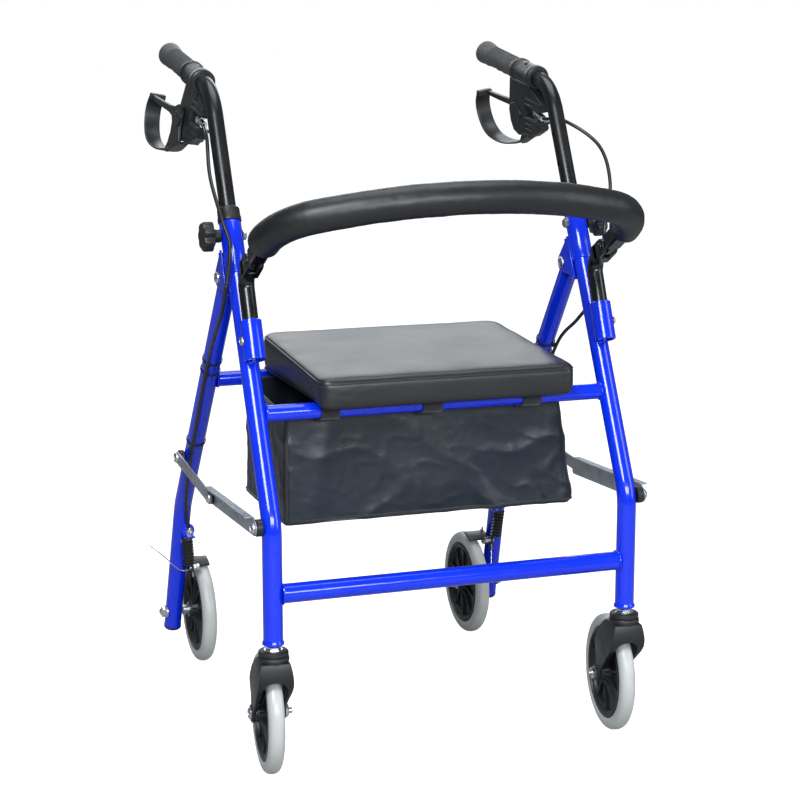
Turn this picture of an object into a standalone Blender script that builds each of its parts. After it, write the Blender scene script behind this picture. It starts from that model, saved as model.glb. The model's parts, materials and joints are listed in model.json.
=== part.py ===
"""Folding rollator walker: two steel side frames, seat, backrest, hand brakes, bag and four wheels.

Metres, +Z up.  The user walks behind the frame, at +Y; the swivel casters lead, at -Y.
Every "_a" part is on the +X side and every "_b" part is its twin on the -X side.
Coordinates below start on the ground between the upright lower ends of the front legs.
MIDDLE_Y is how far behind that point the walker's own middle lies, where the frame's origin is.
"""

import math

import bmesh
import bpy
from mathutils import Matrix, Vector

GAP = 0.0003
MIDDLE_Y = 0.2526
HALF_TRACK = 0.245
LEG_R = 0.0127
BEND_Z = 0.344
LEAN = 0.518
COLLAR_Z = 0.7048
COLLAR_TOP_Z = 0.722
SLEEVE_R = 0.0145
LOWER_BAR_Z = 0.2536
BAR_R = 0.0125
RAIL = Vector((0.0, 0.0665, 0.4727))
RAIL_R = 0.0107
TUBE_R = 0.011
HEIGHT_BOLT_Z = 0.6886
RIVET = Vector((0.0, 0.193, 0.6325))
REAR_BEND = Vector((0.2525, 0.468, 0.26))
REAR_END = Vector((0.259, 0.531, 0.053))
REAR_BAR = Vector((0.0, 0.309, 0.475))
WHEEL_R = 0.080
TYRE_IN_R = 0.064
TYRE_HALF = 0.01275
HUB_HALF = 0.0165
REAR_AXLE = Vector((0.219, 0.5215, 0.080))
TRAIL = 0.050
CASTER_TURN = math.radians(-5.5)
GRIP_START = Vector((0.245, 0.319, 0.8807))
GRIP_SLOPE = math.radians(9.2)
BRAKE_TILT = math.radians(10.0)
LEVER_PIVOT = (0.0644, -0.0588)
BACKREST_HINGE = Vector((0.245, 0.0748, 0.6668))
BACKREST_RISE = math.radians(30.2)
SEAT_Z = 0.4862
BRACE_FRONT = Vector((0.0, 0.0, 0.342))
BRACE_MID = Vector((0.0, 0.213, 0.331))
BRACE_REAR = Vector((0.0, 0.405, 0.345))
BRAKE_PIVOT = Vector((0.0, 0.494, 0.153))

X_AXIS = Vector((1, 0, 0))
Z_AXIS = Vector((0, 0, 1))
LEG_U = Vector((0, LEAN, 1)).normalized()

for old in list(bpy.data.objects):
    bpy.data.objects.remove(old, do_unlink=True)

PARTS = bpy.data.collections.new("rollator_walker")
bpy.context.scene.collection.children.link(PARTS)


def paint(name, colour, metallic, roughness):
    """One Principled material."""
    mat = bpy.data.materials.new(name)
    mat.use_nodes = True
    shader = mat.node_tree.nodes["Principled BSDF"]
    shader.inputs["Base Color"].default_value = (*colour, 1.0)
    shader.inputs["Metallic"].default_value = metallic
    shader.inputs["Roughness"].default_value = roughness
    return mat


LOOKS = {
    "blue": ((0.01, 0.05, 0.72), 0.0, 0.2),
    "satin_black": ((0.02, 0.02, 0.022), 0.0, 0.35),
    "plastic": ((0.015, 0.015, 0.017), 0.0, 0.5),
    "grip": ((0.04, 0.04, 0.042), 0.0, 0.8),
    "foam": ((0.02, 0.02, 0.021), 0.0, 0.9),
    "vinyl": ((0.015, 0.015, 0.018), 0.0, 0.45),
    "nylon": ((0.008, 0.009, 0.02), 0.0, 0.7),
    "tyre": ((0.45, 0.45, 0.45), 0.0, 0.5),
    "steel": ((0.6, 0.6, 0.62), 1.0, 0.3),
}


def leg_point(z, x=HALF_TRACK):
    """A point on the centre line of the leaning part of a front leg."""
    return Vector((x, LEAN * (z - BEND_Z), z))


def leg_x_rear(z):
    """The sideways place of a rear leg, which splays outwards a little as it goes down."""
    if z > REAR_BEND.z:
        return REAR_BEND.x - (z - REAR_BEND.z) * 0.018
    return REAR_BEND.x + (REAR_BEND.z - z) * (REAR_END.x - REAR_BEND.x) / (REAR_BEND.z - REAR_END.z)


def rear_point(z):
    """A point on the centre line of the upper part of a rear leg."""
    return Vector((leg_x_rear(z), 0.2176 + 0.736 * (0.6 - z), z))


# --- shape tools ---------------------------------------------------------------------------


def solid(name, mesh, where=PARTS):
    obj = bpy.data.objects.new(name, mesh)
    where.objects.link(obj)
    return obj


def cleaned(mesh, matrix=Matrix.Identity(4)):
    """Welds a curve's caps to its sides, moves the mesh and turns its faces outwards."""
    shape = bmesh.new()
    shape.from_mesh(mesh)
    shape.transform(matrix)
    bmesh.ops.remove_doubles(shape, verts=shape.verts, dist=1e-6)
    bmesh.ops.recalc_face_normals(shape, faces=shape.faces)
    shape.to_mesh(mesh)
    shape.free()
    return mesh


def from_curve(name, curve, matrix=Matrix.Identity(4)):
    """The curve's own evaluated shape as a closed mesh object."""
    guide = bpy.data.objects.new(name + "_guide", curve)
    bpy.context.scene.collection.objects.link(guide)
    bpy.context.view_layer.update()
    graph = bpy.context.evaluated_depsgraph_get()
    mesh = bpy.data.meshes.new_from_object(guide.evaluated_get(graph))
    bpy.data.objects.remove(guide)
    mesh.name = name
    return solid(name, cleaned(mesh, matrix))


def bent_path(corners, radius, steps=5):
    """The corners joined by straight lines, with each inner corner rounded."""
    points = [Vector(corners[0])]
    for before, corner, after in zip(corners, corners[1:], corners[2:]):
        corner = Vector(corner)
        a = (Vector(before) - corner).normalized()
        b = (Vector(after) - corner).normalized()
        half = a.angle(b) / 2
        reach = radius / math.tan(half)
        centre = corner + (a + b).normalized() * (radius / math.sin(half))
        first = corner + a * reach - centre
        last = corner + b * reach - centre
        sweep = first.angle(last)
        for i in range(steps + 1):
            t = i / steps
            mix = first * math.sin((1 - t) * sweep) + last * math.sin(t * sweep)
            points.append(centre + mix / math.sin(sweep))
    points.append(Vector(corners[-1]))
    return points


def tube(name, points, radius, sides=16, matrix=Matrix.Identity(4)):
    """A round bar along the points."""
    curve = bpy.data.curves.new(name, "CURVE")
    curve.dimensions = "3D"
    curve.bevel_depth = radius
    curve.bevel_resolution = (sides - 4) // 2
    curve.use_fill_caps = True
    spline = curve.splines.new("POLY")
    spline.points.add(len(points) - 1)
    for slot, point in zip(spline.points, points):
        slot.co = (*point, 1.0)
    return from_curve(name, curve, matrix)


PLATE_AXES = Matrix(((0, 0, 1, 0), (1, 0, 0, 0), (0, 1, 0, 0), (0, 0, 0, 1)))


def plate(name, outline, low, high, matrix=Matrix.Identity(4)):
    """A sheet whose outline is given as (y, z) points, filling x from low to high."""
    curve = bpy.data.curves.new(name, "CURVE")
    curve.dimensions = "2D"
    curve.fill_mode = "BOTH"
    curve.extrude = (high - low) / 2
    spline = curve.splines.new("POLY")
    spline.use_cyclic_u = True
    spline.points.add(len(outline) - 1)
    for slot, point in zip(spline.points, outline):
        slot.co = (point[0], point[1], 0.0, 1.0)
    shift = Matrix.Translation(((low + high) / 2, 0, 0))
    return from_curve(name, curve, matrix @ shift @ PLATE_AXES)


def arc(centre, radius, start, end, steps=8):
    """Points on part of a circle, angles in degrees."""
    turn = [math.radians(start + (end - start) * i / steps) for i in range(steps + 1)]
    return [(centre[0] + radius * math.cos(t), centre[1] + radius * math.sin(t)) for t in turn]


def turned(name, profile, origin, axis, sides=16, loop=False, matrix=Matrix.Identity(4)):
    """A turned solid.  The profile's (radius, height) points run down its outer side."""
    mesh = bpy.data.meshes.new(name)
    count = len(profile)
    edges = [(i, i + 1) for i in range(count - 1)]
    if loop:
        edges.append((count - 1, 0))
    mesh.from_pydata([(r, 0, h) for r, h in profile], edges, [])
    obj = solid(name, mesh)
    screw = obj.modifiers.new("turn", "SCREW")
    screw.axis = "Z"
    screw.steps = sides
    screw.render_steps = sides
    screw.use_merge_vertices = True
    screw.merge_threshold = 0.00005
    place = Matrix.Translation(origin) @ Z_AXIS.rotation_difference(Vector(axis)).to_matrix().to_4x4()
    return bake(obj, matrix @ place)


def rod(name, start, end, radius, sides=16, matrix=Matrix.Identity(4)):
    """A plain cylinder between two points."""
    start = Vector(start)
    span = Vector(end) - start
    shape = [(0, span.length), (radius, span.length), (radius, 0), (0, 0)]
    return turned(name, shape, start, span, sides, matrix=matrix)


def block(name, low, high, bevel=0.0, segments=1, matrix=Matrix.Identity(4)):
    """A box between two corners, with rounded edges if a bevel is given."""
    mesh = bpy.data.meshes.new(name)
    shape = bmesh.new()
    bmesh.ops.create_cube(shape, size=1.0)
    size = Vector(high) - Vector(low)
    middle = (Vector(high) + Vector(low)) / 2
    shape.transform(Matrix.Translation(middle) @ Matrix.Diagonal((*size, 1.0)))
    shape.to_mesh(mesh)
    shape.free()
    obj = solid(name, mesh)
    if bevel:
        rounding = obj.modifiers.new("rounding", "BEVEL")
        rounding.width = bevel
        rounding.segments = segments
    return bake(obj, matrix)


def bake(obj, matrix=Matrix.Identity(4)):
    """Turns the object's modifiers into plain mesh, in world axes."""
    bpy.context.view_layer.update()
    graph = bpy.context.evaluated_depsgraph_get()
    mesh = bpy.data.meshes.new_from_object(obj.evaluated_get(graph))
    obj.modifiers.clear()
    obj.data = cleaned(mesh, matrix)
    return obj


def boolean(obj, other, how):
    """Joins or cuts with another solid, which is then dropped."""
    step = obj.modifiers.new(how.lower(), "BOOLEAN")
    step.operation = how
    step.object = other
    step.solver = "EXACT"
    bpy.context.view_layer.update()
    graph = bpy.context.evaluated_depsgraph_get()
    mesh = bpy.data.meshes.new_from_object(obj.evaluated_get(graph))
    obj.modifiers.clear()
    obj.data = mesh
    bpy.data.objects.remove(other)
    return obj


def join(obj, *others):
    for other in others:
        boolean(obj, other, "UNION")
    return obj


def cut(obj, *others):
    for other in others:
        boolean(obj, other, "DIFFERENCE")
    return obj


def finish(obj, look, origin=(0, 0, 0), turn=0.0, smooth=35):
    """Gives the part its own material, and puts its origin on its joint axis or at its centre."""
    mesh = obj.data
    mesh.name = obj.name
    mesh.materials.clear()
    mesh.materials.append(paint(obj.name, *LOOKS[look]))
    mesh.transform(Matrix.Translation(-Vector(origin)))
    mesh.shade_smooth()
    mesh.set_sharp_from_angle(angle=math.radians(smooth))
    obj.location = origin
    obj.rotation_euler.z = turn
    obj["look"] = look
    return obj


def twin(obj):
    """The same part on the -X side."""
    look = obj["look"]
    mesh = obj.data.copy()
    shape = bmesh.new()
    shape.from_mesh(mesh)
    shape.transform(Matrix.Diagonal((-1, 1, 1, 1)))
    bmesh.ops.reverse_faces(shape, faces=shape.faces)
    shape.to_mesh(mesh)
    shape.free()
    name = obj.name[:-2] + "_b"
    other = solid(name, mesh)
    mesh.name = name
    mesh.materials.clear()
    mesh.materials.append(paint(name, *LOOKS[look]))
    other.location = Vector((-obj.location.x, obj.location.y, obj.location.z))
    other["look"] = look
    return other


def both(obj, look, origin=(0, 0, 0)):
    """Finishes a part and makes its twin."""
    finish(obj, look, origin)
    twin(obj)
    return obj


# --- front frame ---------------------------------------------------------------------------

leg_top = leg_point(COLLAR_Z)
leg_path = bent_path([(HALF_TRACK, 0, 0.192), (HALF_TRACK, 0, BEND_Z), leg_point(0.699)], 0.075)
leg = tube("front_leg_a", leg_path, LEG_R)
socket_low = Vector((HALF_TRACK - 0.0012, 0.0727, 0.541))
socket_high = Vector((HALF_TRACK - 0.0012, 0.0936, 0.589))
socket_u = (socket_high - socket_low).normalized()
flare = [(0, 0.207), (LEG_R - 0.001, 0.207), (0.0155, 0.2), (0.0155, 0.188), (0, 0.188)]
join(
    leg,
    rod("sleeve", leg_point(0.640), leg_top, SLEEVE_R, 20),
    turned("flare", flare, (HALF_TRACK, 0, 0), Z_AXIS, 20),
    rod("socket", socket_low, socket_high, 0.014, 18),
    rod("socket_bolt", (0.25, 0.0832, 0.565), (0.2612, 0.0832, 0.565), 0.004, 12),
    plate("weld", [(0.083, 0.552), (0.100, 0.548), (0.119, 0.583), (0.098, 0.583)], 0.2415, 0.2485),
)
cut(
    leg,
    rod("socket_bore", socket_low - socket_u * 0.01, socket_high + socket_u * 0.01, 0.0108),
    rod("leg_bore", leg_point(0.512), leg_top + LEG_U * 0.02, 0.0116, 18),
    rod("stem_bore", (HALF_TRACK, 0, 0.15), (HALF_TRACK, 0, 0.238), 0.0064, 14),
    rod("bolt_hole", (0.2, leg_point(HEIGHT_BOLT_Z).y, HEIGHT_BOLT_Z),
        (0.3, leg_point(HEIGHT_BOLT_Z).y, HEIGHT_BOLT_Z), 0.0034, 10),
)
both(leg, "blue")

lower_bar = rod("front_lower_crossbar", (-0.242, 0, LOWER_BAR_Z), (0.242, 0, LOWER_BAR_Z), BAR_R)
seat_rail = rod("front_seat_rail", RAIL - X_AXIS * 0.242, RAIL + X_AXIS * 0.242, RAIL_R)
for side in (-1, 1):
    leg_x = side * HALF_TRACK
    cut(lower_bar, rod("cope", (leg_x, 0, 0.22), (leg_x, 0, 0.29), LEG_R + GAP, 20))
    cut(seat_rail, rod("cope", leg_point(0.44, leg_x), leg_point(0.51, leg_x), LEG_R + GAP, 20))
finish(lower_bar, "blue", (0, 0, LOWER_BAR_Z))
finish(seat_rail, "blue", RAIL)


back_n = Vector((0, LEG_U.z, -LEG_U.y))
rivet_b = (RIVET - leg_point(0.6325, 0)).dot(back_n)
rivet_foot = RIVET - back_n * rivet_b


def bracket_point(along, behind):
    """A point beside the leg, as (y, z), from the rivet's foot on the leg's centre line."""
    spot = rivet_foot + LEG_U * along + back_n * behind
    return (spot.y, spot.z)


def bracket_outline(front):
    rounded = []
    for i in range(9):
        angle = math.radians(-60 + 15 * i)
        rounded.append(bracket_point(0.0125 * math.sin(angle), rivet_b + 0.0125 * math.cos(angle)))
    return [bracket_point(-0.034, front), *rounded, bracket_point(0.026, front)]


bracket = plate("hinge_bracket_a", bracket_outline(0.0150), 0.2298, 0.2618)
cut(
    bracket,
    plate("channel", bracket_outline(0.0176)[:1] + [bracket_point(-0.034, 0.08),
          bracket_point(0.034, 0.08), bracket_point(0.034, 0.0176)], 0.2328, 0.2590),
    rod("rivet_hole", (0.2, RIVET.y, RIVET.z), (0.3, RIVET.y, RIVET.z), 0.0043, 12),
)
both(bracket, "blue")

collar_low = (COLLAR_Z - BEND_Z) / LEG_U.z + GAP
collar_high = (COLLAR_TOP_Z - BEND_Z) / LEG_U.z
collar_shape = [
    (0.0113, collar_high), (0.0140, collar_high), (0.0152, collar_high - 0.003),
    (0.0156, collar_high - 0.006), (0.0156, collar_low), (0.0113, collar_low),
]
foot = Vector((HALF_TRACK, 0, BEND_Z))
both(turned("leg_collar_a", collar_shape, foot, LEG_U, loop=True), "plastic")

bolt_y = leg_point(HEIGHT_BOLT_Z).y
bolt_shape = [(0, 0.2755), (0.003, 0.2755), (0.003, 0.2302), (0.0062, 0.2302), (0.0062, 0.2268),
              (0.0045, 0.2258), (0, 0.2258)]
bolt_foot = (0, bolt_y, HEIGHT_BOLT_Z)
both(turned("height_bolt_a", bolt_shape, bolt_foot, X_AXIS, 16), "steel")

star = []
for i in range(36):
    angle = 2 * math.pi * i / 36
    r = 0.0178 + 0.0022 * math.cos(6 * angle)
    star.append((bolt_y + r * math.cos(angle), HEIGHT_BOLT_Z + r * math.sin(angle)))
knob = plate("height_knob_a", star, 0.2692, 0.2875)
join(knob, rod("boss", (0.2600, bolt_y, HEIGHT_BOLT_Z), (0.2720, bolt_y, HEIGHT_BOLT_Z), 0.0085))
cut(knob, rod("thread", (0.25, bolt_y, HEIGHT_BOLT_Z), (0.2765, bolt_y, HEIGHT_BOLT_Z), 0.0033, 10))
both(knob, "plastic", (0.2692, bolt_y, HEIGHT_BOLT_Z))

# --- rear frame ----------------------------------------------------------------------------

rear_u = (rear_point(0.3) - rear_point(0.6)).normalized()
rivet_on_leg = rear_point(RIVET.z)
rear_top = rivet_on_leg - rear_u * 0.0115
rear_leg = tube("rear_leg_a", bent_path([rear_top, REAR_BEND, REAR_END], 0.07), LEG_R)
join(
    rear_leg,
    block("stop_tab", (0.2385, 0.4560, 0.2090), (0.2540, 0.4760, 0.2120), 0.001),
)
cut(
    rear_leg,
    rod("rivet_hole", (0.2, RIVET.y, RIVET.z), (0.3, RIVET.y, RIVET.z), 0.0043, 12),
    rod("axle_hole", (0.2, REAR_AXLE.y, REAR_AXLE.z), (0.3, REAR_AXLE.y, REAR_AXLE.z), 0.0046, 12),
    rod("brake_hole", (0.2, BRAKE_PIVOT.y, BRAKE_PIVOT.z), (0.2535, BRAKE_PIVOT.y, BRAKE_PIVOT.z), 0.0034, 10),
)
both(rear_leg, "blue", rivet_on_leg)

rear_bar = rod("rear_crossbar", REAR_BAR - X_AXIS * 0.246, REAR_BAR + X_AXIS * 0.246, 0.0105)
for side in (-1, 1):
    ends = [Vector((side * p.x, p.y, p.z)) for p in (rear_point(0.43), rear_point(0.52))]
    cut(rear_bar, rod("cope", *ends, LEG_R + GAP, 20))
finish(rear_bar, "blue", REAR_BAR)

pin_shape = [(0, 0.2650), (0.006, 0.2650), (0.0078, 0.2635), (0.0078, 0.2621), (0.004, 0.2621),
             (0.004, 0.2295), (0.0078, 0.2295), (0.0078, 0.2282), (0.006, 0.2268), (0, 0.2268)]
both(turned("hinge_pin_a", pin_shape, (0, RIVET.y, RIVET.z), X_AXIS, 16), "steel", (0.245, RIVET.y, RIVET.z))

spacer_shape = [(0, 0.2715), (0.011, 0.2715), (0.011, 0.2641), (0, 0.2641)]
brace_foot = (0, BRACE_REAR.y, BRACE_REAR.z)
both(turned("brace_spacer_a", spacer_shape, brace_foot, X_AXIS), "plastic", (0.268, *BRACE_REAR.yz))

axle_shape = [(0, 0.2790), (0.006, 0.2790), (0.009, 0.2770), (0.009, 0.2715), (0.0043, 0.2715),
              (0.0043, 0.2452), (0.0078, 0.2452), (0.0078, 0.2358), (0.0042, 0.2358),
              (0.0042, 0.2022), (0.009, 0.2022), (0.009, 0.1940), (0.0075, 0.1915), (0, 0.1915)]
both(turned("rear_axle_a", axle_shape, (0, *REAR_AXLE.yz), X_AXIS, 12), "steel", REAR_AXLE)


def tyre(name):
    shape = [(0.0640, 0.0098), (0.0700, 0.0119), (0.0755, 0.0110), (0.0788, 0.0070), (0.0800, 0.0),
             (0.0788, -0.0070), (0.0755, -0.0110), (0.0700, -0.0119), (0.0640, -0.0098)]
    return turned(name, shape, (0, 0, 0), X_AXIS, 20, loop=True)


def hub(name):
    half = [(0.0045, HUB_HALF), (0.0125, HUB_HALF), (0.0135, 0.0030), (0.0545, 0.0030),
            (0.0570, 0.0105), (0.0637, 0.0098)]
    lower = [(r, -h) for r, h in reversed(half)]
    return turned(name, half + lower, (0, 0, 0), X_AXIS, 20, loop=True)


def set_wheel(suffix, spot, turn, kind):
    for make, label, look in ((tyre, "tyre", "tyre"), (hub, "hub", "plastic")):
        obj = finish(make(f"{kind}_{label}_{suffix}"), look)
        obj.location = spot
        obj.rotation_euler.z = turn


set_wheel("a", REAR_AXLE, 0.0, "rear")
set_wheel("b", Vector((-REAR_AXLE.x, *REAR_AXLE.yz)), 0.0, "rear")

shoe_outline = arc(REAR_AXLE.yz, 0.0865, 117, 86, 8) + arc(REAR_AXLE.yz, 0.0835, 86, 117, 8)
arm_outline = [(0.4665, 0.1545), (0.4680, 0.1635), (0.4890, 0.1600), (0.5000, 0.1645),
               (0.5150, 0.1655), (0.5080, 0.1600), (0.5010, 0.1510), (0.4940, 0.1465), (0.4850, 0.1490)]
brake_arm = plate("brake_arm_a", arm_outline, 0.2385, 0.2415)
join(
    brake_arm,
    plate("shoe", shoe_outline, 0.2070, 0.2410),
    rod("pin", (0.2390, *BRAKE_PIVOT.yz), (0.2525, *BRAKE_PIVOT.yz), 0.0031, 10),
)
both(brake_arm, "steel", (0.24, *BRAKE_PIVOT.yz))

spring_low = Vector((0.2400, 0.4735, 0.1665))
spring_high = Vector((0.2450, 0.4655, 0.2060))
spring_len = (spring_high - spring_low).length
spring_shape = [(0, spring_len), (0.0045, spring_len)]
for i in range(7):
    spring_shape.append((0.0062, spring_len - (i + 0.5) * spring_len / 7))
    if i < 6:
        spring_shape.append((0.0048, spring_len - (i + 1.0) * spring_len / 7))
spring_shape += [(0.0045, 0), (0, 0)]
spring = turned("brake_spring_a", spring_shape, spring_low, spring_high - spring_low, 12)
both(spring, "plastic")

# --- casters -------------------------------------------------------------------------------

side_outline = [(-0.0190, 0.1665), (-0.0225, 0.1520), (-0.0215, 0.1360), (-0.0080, 0.1220),
                (0.0375, 0.0735), *arc((TRAIL, 0.080), 0.014, 215, 370, 8), (0.0600, 0.1150),
                (0.0400, 0.1500), (0.0230, 0.1640), (0.0190, 0.1665)]
fork = plate("fork_plan", side_outline, -0.03, 0.03)
front_half = [(0.0185, 0.1670), (0.0235, 0.1510), (0.0245, 0.1300), (0.0214, 0.1050), (0.0214, 0.05)]
front_outline = front_half + [(-x, z) for x, z in reversed(front_half)]
quarter = Matrix.Rotation(math.radians(-90), 4, "Z")
boolean(fork, plate("fork_front", front_outline, -0.05, 0.09, quarter), "INTERSECT")
cap = [(0, 0.1810), (0.0175, 0.1810), (0.0195, 0.1795), (0.0195, 0.1752), (0.0180, 0.1745),
       (0.0180, 0.1735), (0.0202, 0.1728), (0.0202, 0.1670), (0.0185, 0.1600), (0, 0.1600)]
join(fork, turned("cap", cap, (0, 0, 0), Z_AXIS))
wheel_gap = rod("slot", (-0.0172, TRAIL, 0.080), (0.0172, TRAIL, 0.080), 0.0845, 28)
below = block("below", (-0.0172, -0.06, 0.0), (0.0172, 0.14, 0.080))
cut(
    fork,
    wheel_gap,
    below,
    rod("axle_hole", (-0.05, TRAIL, 0.080), (0.05, TRAIL, 0.080), 0.0043, 12),
    rod("stem_hole", (0, 0, 0.156), (0, 0, 0.2), 0.0063),
)
stem = rod("stem", (0, 0, 0.1565), (0, 0, 0.236), 0.006, 20)
hex_nut = rod("nut", (0, 0, 0.1813), (0, 0, 0.1876), 0.0095, 6)
join(stem, hex_nut)
bolt = [(0, 0.0262), (0.0060, 0.0262), (0.0085, 0.0245), (0.0085, 0.0217), (0.0040, 0.0217),
        (0.0040, -0.0217), (0.0085, -0.0217), (0.0085, -0.0280), (0.0042, -0.0280), (0.0042, -0.0330),
        (0, -0.0330)]
axle = turned("axle", bolt, (0, TRAIL, 0.080), X_AXIS, 16)
for suffix, sign in (("a", 1), ("b", -1)):
    stem_foot = Vector((sign * HALF_TRACK, 0, 0))
    turn = Matrix.Rotation(CASTER_TURN, 4, "Z")
    for source, label, look in ((fork, "fork", "plastic"), (stem, "stem", "steel"), (axle, "axle", "steel")):
        copy = solid(f"caster_{label}_{suffix}", source.data.copy())
        if sign < 0:
            copy.data.transform(Matrix.Diagonal((-1, 1, 1, 1)))
            copy.data.flip_normals()
        finish(copy, look)
        copy.location = stem_foot
        copy.rotation_euler.z = CASTER_TURN
    set_wheel(suffix, stem_foot + turn @ Vector((0, TRAIL, 0.080)), CASTER_TURN, "caster")
for source in (fork, stem, axle):
    bpy.data.objects.remove(source)

# --- handles -------------------------------------------------------------------------------

grip_dir = Vector((0, math.cos(GRIP_SLOPE), math.sin(GRIP_SLOPE)))
grip_up = Vector((0, -math.sin(GRIP_SLOPE), math.cos(GRIP_SLOPE)))
HANDLE = Matrix.Translation(GRIP_START) @ Matrix((
    (1, 0, 0, 0), (0, grip_dir.y, grip_up.y, 0), (0, grip_dir.z, grip_up.z, 0), (0, 0, 0, 1)))
BRAKE = HANDLE @ Matrix.Rotation(-BRAKE_TILT, 4, "Y")

corner_z = 0.8737
tube_low = leg_point(0.6015)
tube_corner = leg_point(corner_z)
tube_end = GRIP_START + grip_dir * 0.198
handle_tube = tube("handle_tube_a", bent_path([tube_low, tube_corner, tube_end], 0.08, 6), TUBE_R)
slot_low = leg_point(HEIGHT_BOLT_Z) - LEG_U * 0.0440
slot_high = leg_point(HEIGHT_BOLT_Z) + LEG_U * 0.0840
slot_side = Vector((0, LEG_U.z, -LEG_U.y)) * 0.0034
slot_outline = [slot_low - slot_side, slot_low + slot_side, slot_high + slot_side, slot_high - slot_side]
cut(handle_tube, plate("slot", [tuple(p.yz) for p in slot_outline], 0.22, 0.27))
both(handle_tube, "satin_black", leg_point(HEIGHT_BOLT_Z))

grip_shape = [(0, 0.2115), (0.0175, 0.2110), (0.0205, 0.2080), (0.0200, 0.2000), (0.0172, 0.1890),
              (0.0165, 0.1750), (0.0172, 0.1560), (0.0160, 0.1450), (0.0172, 0.1330),
              (0.0160, 0.1210), (0.0172, 0.1090), (0.0160, 0.0980), (0.0170, 0.0880),
              (0.0168, 0.0712), (0, 0.0712)]
grip = turned("hand_grip_a", grip_shape, GRIP_START, grip_dir)
cut(grip, rod("bore", GRIP_START + grip_dir * 0.05, GRIP_START + grip_dir * 0.2005, TUBE_R + GAP))
both(grip, "grip")

clamp = [(0, 0.0705), (0.0188, 0.0705), (0.0205, 0.0690), (0.0205, 0.0600), (0.0190, 0.0585),
         (0.0190, 0.0150), (0.0208, 0.0135), (0.0208, 0.0015), (0.0190, 0.0), (0, 0.0)]
housing = turned("brake_housing_a", clamp, GRIP_START, grip_dir)
housing_outline = [(0.002, -0.010), (-0.004, -0.040), (-0.004, -0.060), (0.014, -0.0655),
                   (0.040, -0.0755), (0.056, -0.0845), (0.070, -0.0850), (0.084, -0.0735),
                   (0.087, -0.060), (0.080, -0.040), (0.070, -0.025), (0.066, -0.010)]
join(
    housing,
    plate("body", housing_outline, -0.0085, 0.0032, BRAKE),
    rod("adjuster", (-0.002, 0.010, -0.0520), (-0.002, -0.0200, -0.0560), 0.0045, 16, BRAKE),
)
cut(
    housing,
    rod("bore", GRIP_START - grip_dir * 0.05, GRIP_START + grip_dir * 0.1, TUBE_R + GAP),
    rod("pivot", (-0.0065, *LEVER_PIVOT), (0.02, *LEVER_PIVOT), 0.0034, 12, BRAKE),
)
both(housing, "plastic")

arm = [(0.0535, -0.0560), (0.0600, -0.0480), (0.0720, -0.0485), (0.1100, -0.0545), (0.1858, -0.0605),
       (0.2305, -0.0625), (0.2305, -0.0700), (0.1858, -0.0710), (0.1100, -0.0675), (0.0780, -0.0700),
       (0.0640, -0.0900), (0.0480, -0.0960), (0.0380, -0.0950), (0.0365, -0.0905), (0.0470, -0.0860),
       (0.0535, -0.0720)]
lever = plate("brake_lever_a", arm, 0.0036, 0.0086, BRAKE)
loop_path = bent_path(
    [(0, 0.0385, -0.0935), (0, 0.0720, -0.1115), (0, 0.1605, -0.1230), (0, 0.2345, -0.0870),
     (0, 0.2295, -0.0640)], 0.016, 4)
outer = []
inner = []
for i, spot in enumerate(loop_path):
    ahead = loop_path[min(i + 1, len(loop_path) - 1)] - loop_path[max(i - 1, 0)]
    normal = Vector((0, -ahead.z, ahead.y)).normalized() * 0.0015
    outer.append(tuple((spot + normal).yz))
    inner.append(tuple((spot - normal).yz))
join(
    lever,
    plate("strip", outer + inner[::-1], -0.011, 0.011, BRAKE),
    rod("boss", (0.0036, *LEVER_PIVOT), (0.0125, *LEVER_PIVOT), 0.0095, 20, BRAKE),
    rod("pin", (-0.0060, *LEVER_PIVOT), (0.0050, *LEVER_PIVOT), 0.0031, 12, BRAKE),
)
both(lever, "plastic", BRAKE @ Vector((0, *LEVER_PIVOT)))

cable_path = bent_path(
    [BRAKE @ Vector((-0.002, -0.0224, -0.0563)), (0.2640, 0.2550, 0.8200), (0.2780, 0.1750, 0.7640),
     (0.2660, 0.1340, 0.6900), (0.2640, 0.1340, 0.6300), (0.2670, 0.1720, 0.5850),
     (0.2600, 0.2500, 0.5280), (0.2590, 0.3300, 0.4230), (0.2585, 0.3920, 0.3380),
     (0.2540, 0.4440, 0.2650), (0.2465, 0.4625, 0.2165)], 0.016, 2)
both(tube("brake_cable_a", cable_path, 0.0025, 8), "plastic")

# --- backrest ------------------------------------------------------------------------------

forward = Vector((0, -math.cos(BACKREST_RISE), math.sin(BACKREST_RISE)))
post_x = Vector((HALF_TRACK - 0.0012, 0, 0))
post_corner = post_x + Vector((0, 0.1167, 0.6424))
hinge = Vector((post_x.x, BACKREST_HINGE.y, BACKREST_HINGE.z))
post_path = bent_path([socket_low + socket_u * 0.004, post_corner, hinge - forward * 0.012], 0.020, 6)
post = tube("backrest_post_a", post_path, 0.0105)
lift = Vector((0, forward.z, -forward.y))
KNUCKLE = Matrix.Translation(hinge) @ Matrix((
    (1, 0, 0, 0), (0, forward.y, lift.y, 0), (0, forward.z, lift.z, 0), (0, 0, 0, 1)))
ear = [(-0.020, -0.011), *arc((0, 0), 0.011, -90, 90, 8), (-0.020, 0.011)]
join(post, plate("ears", ear, -0.0110, 0.0110, KNUCKLE))
cut(post, block("slot", (-0.0045, -0.0125, -0.02), (0.0045, 0.02, 0.02), matrix=KNUCKLE))
join(post, rod("pin", (-0.0108, 0, 0), (0.0108, 0, 0), 0.0035, 10, KNUCKLE))
both(post, "satin_black")

straight = 0.0687
small_r = 0.0662
sweep = math.radians(66.5)
big_r = (HALF_TRACK - 0.0012 - small_r * (1 - math.cos(sweep))) / math.cos(sweep)


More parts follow.
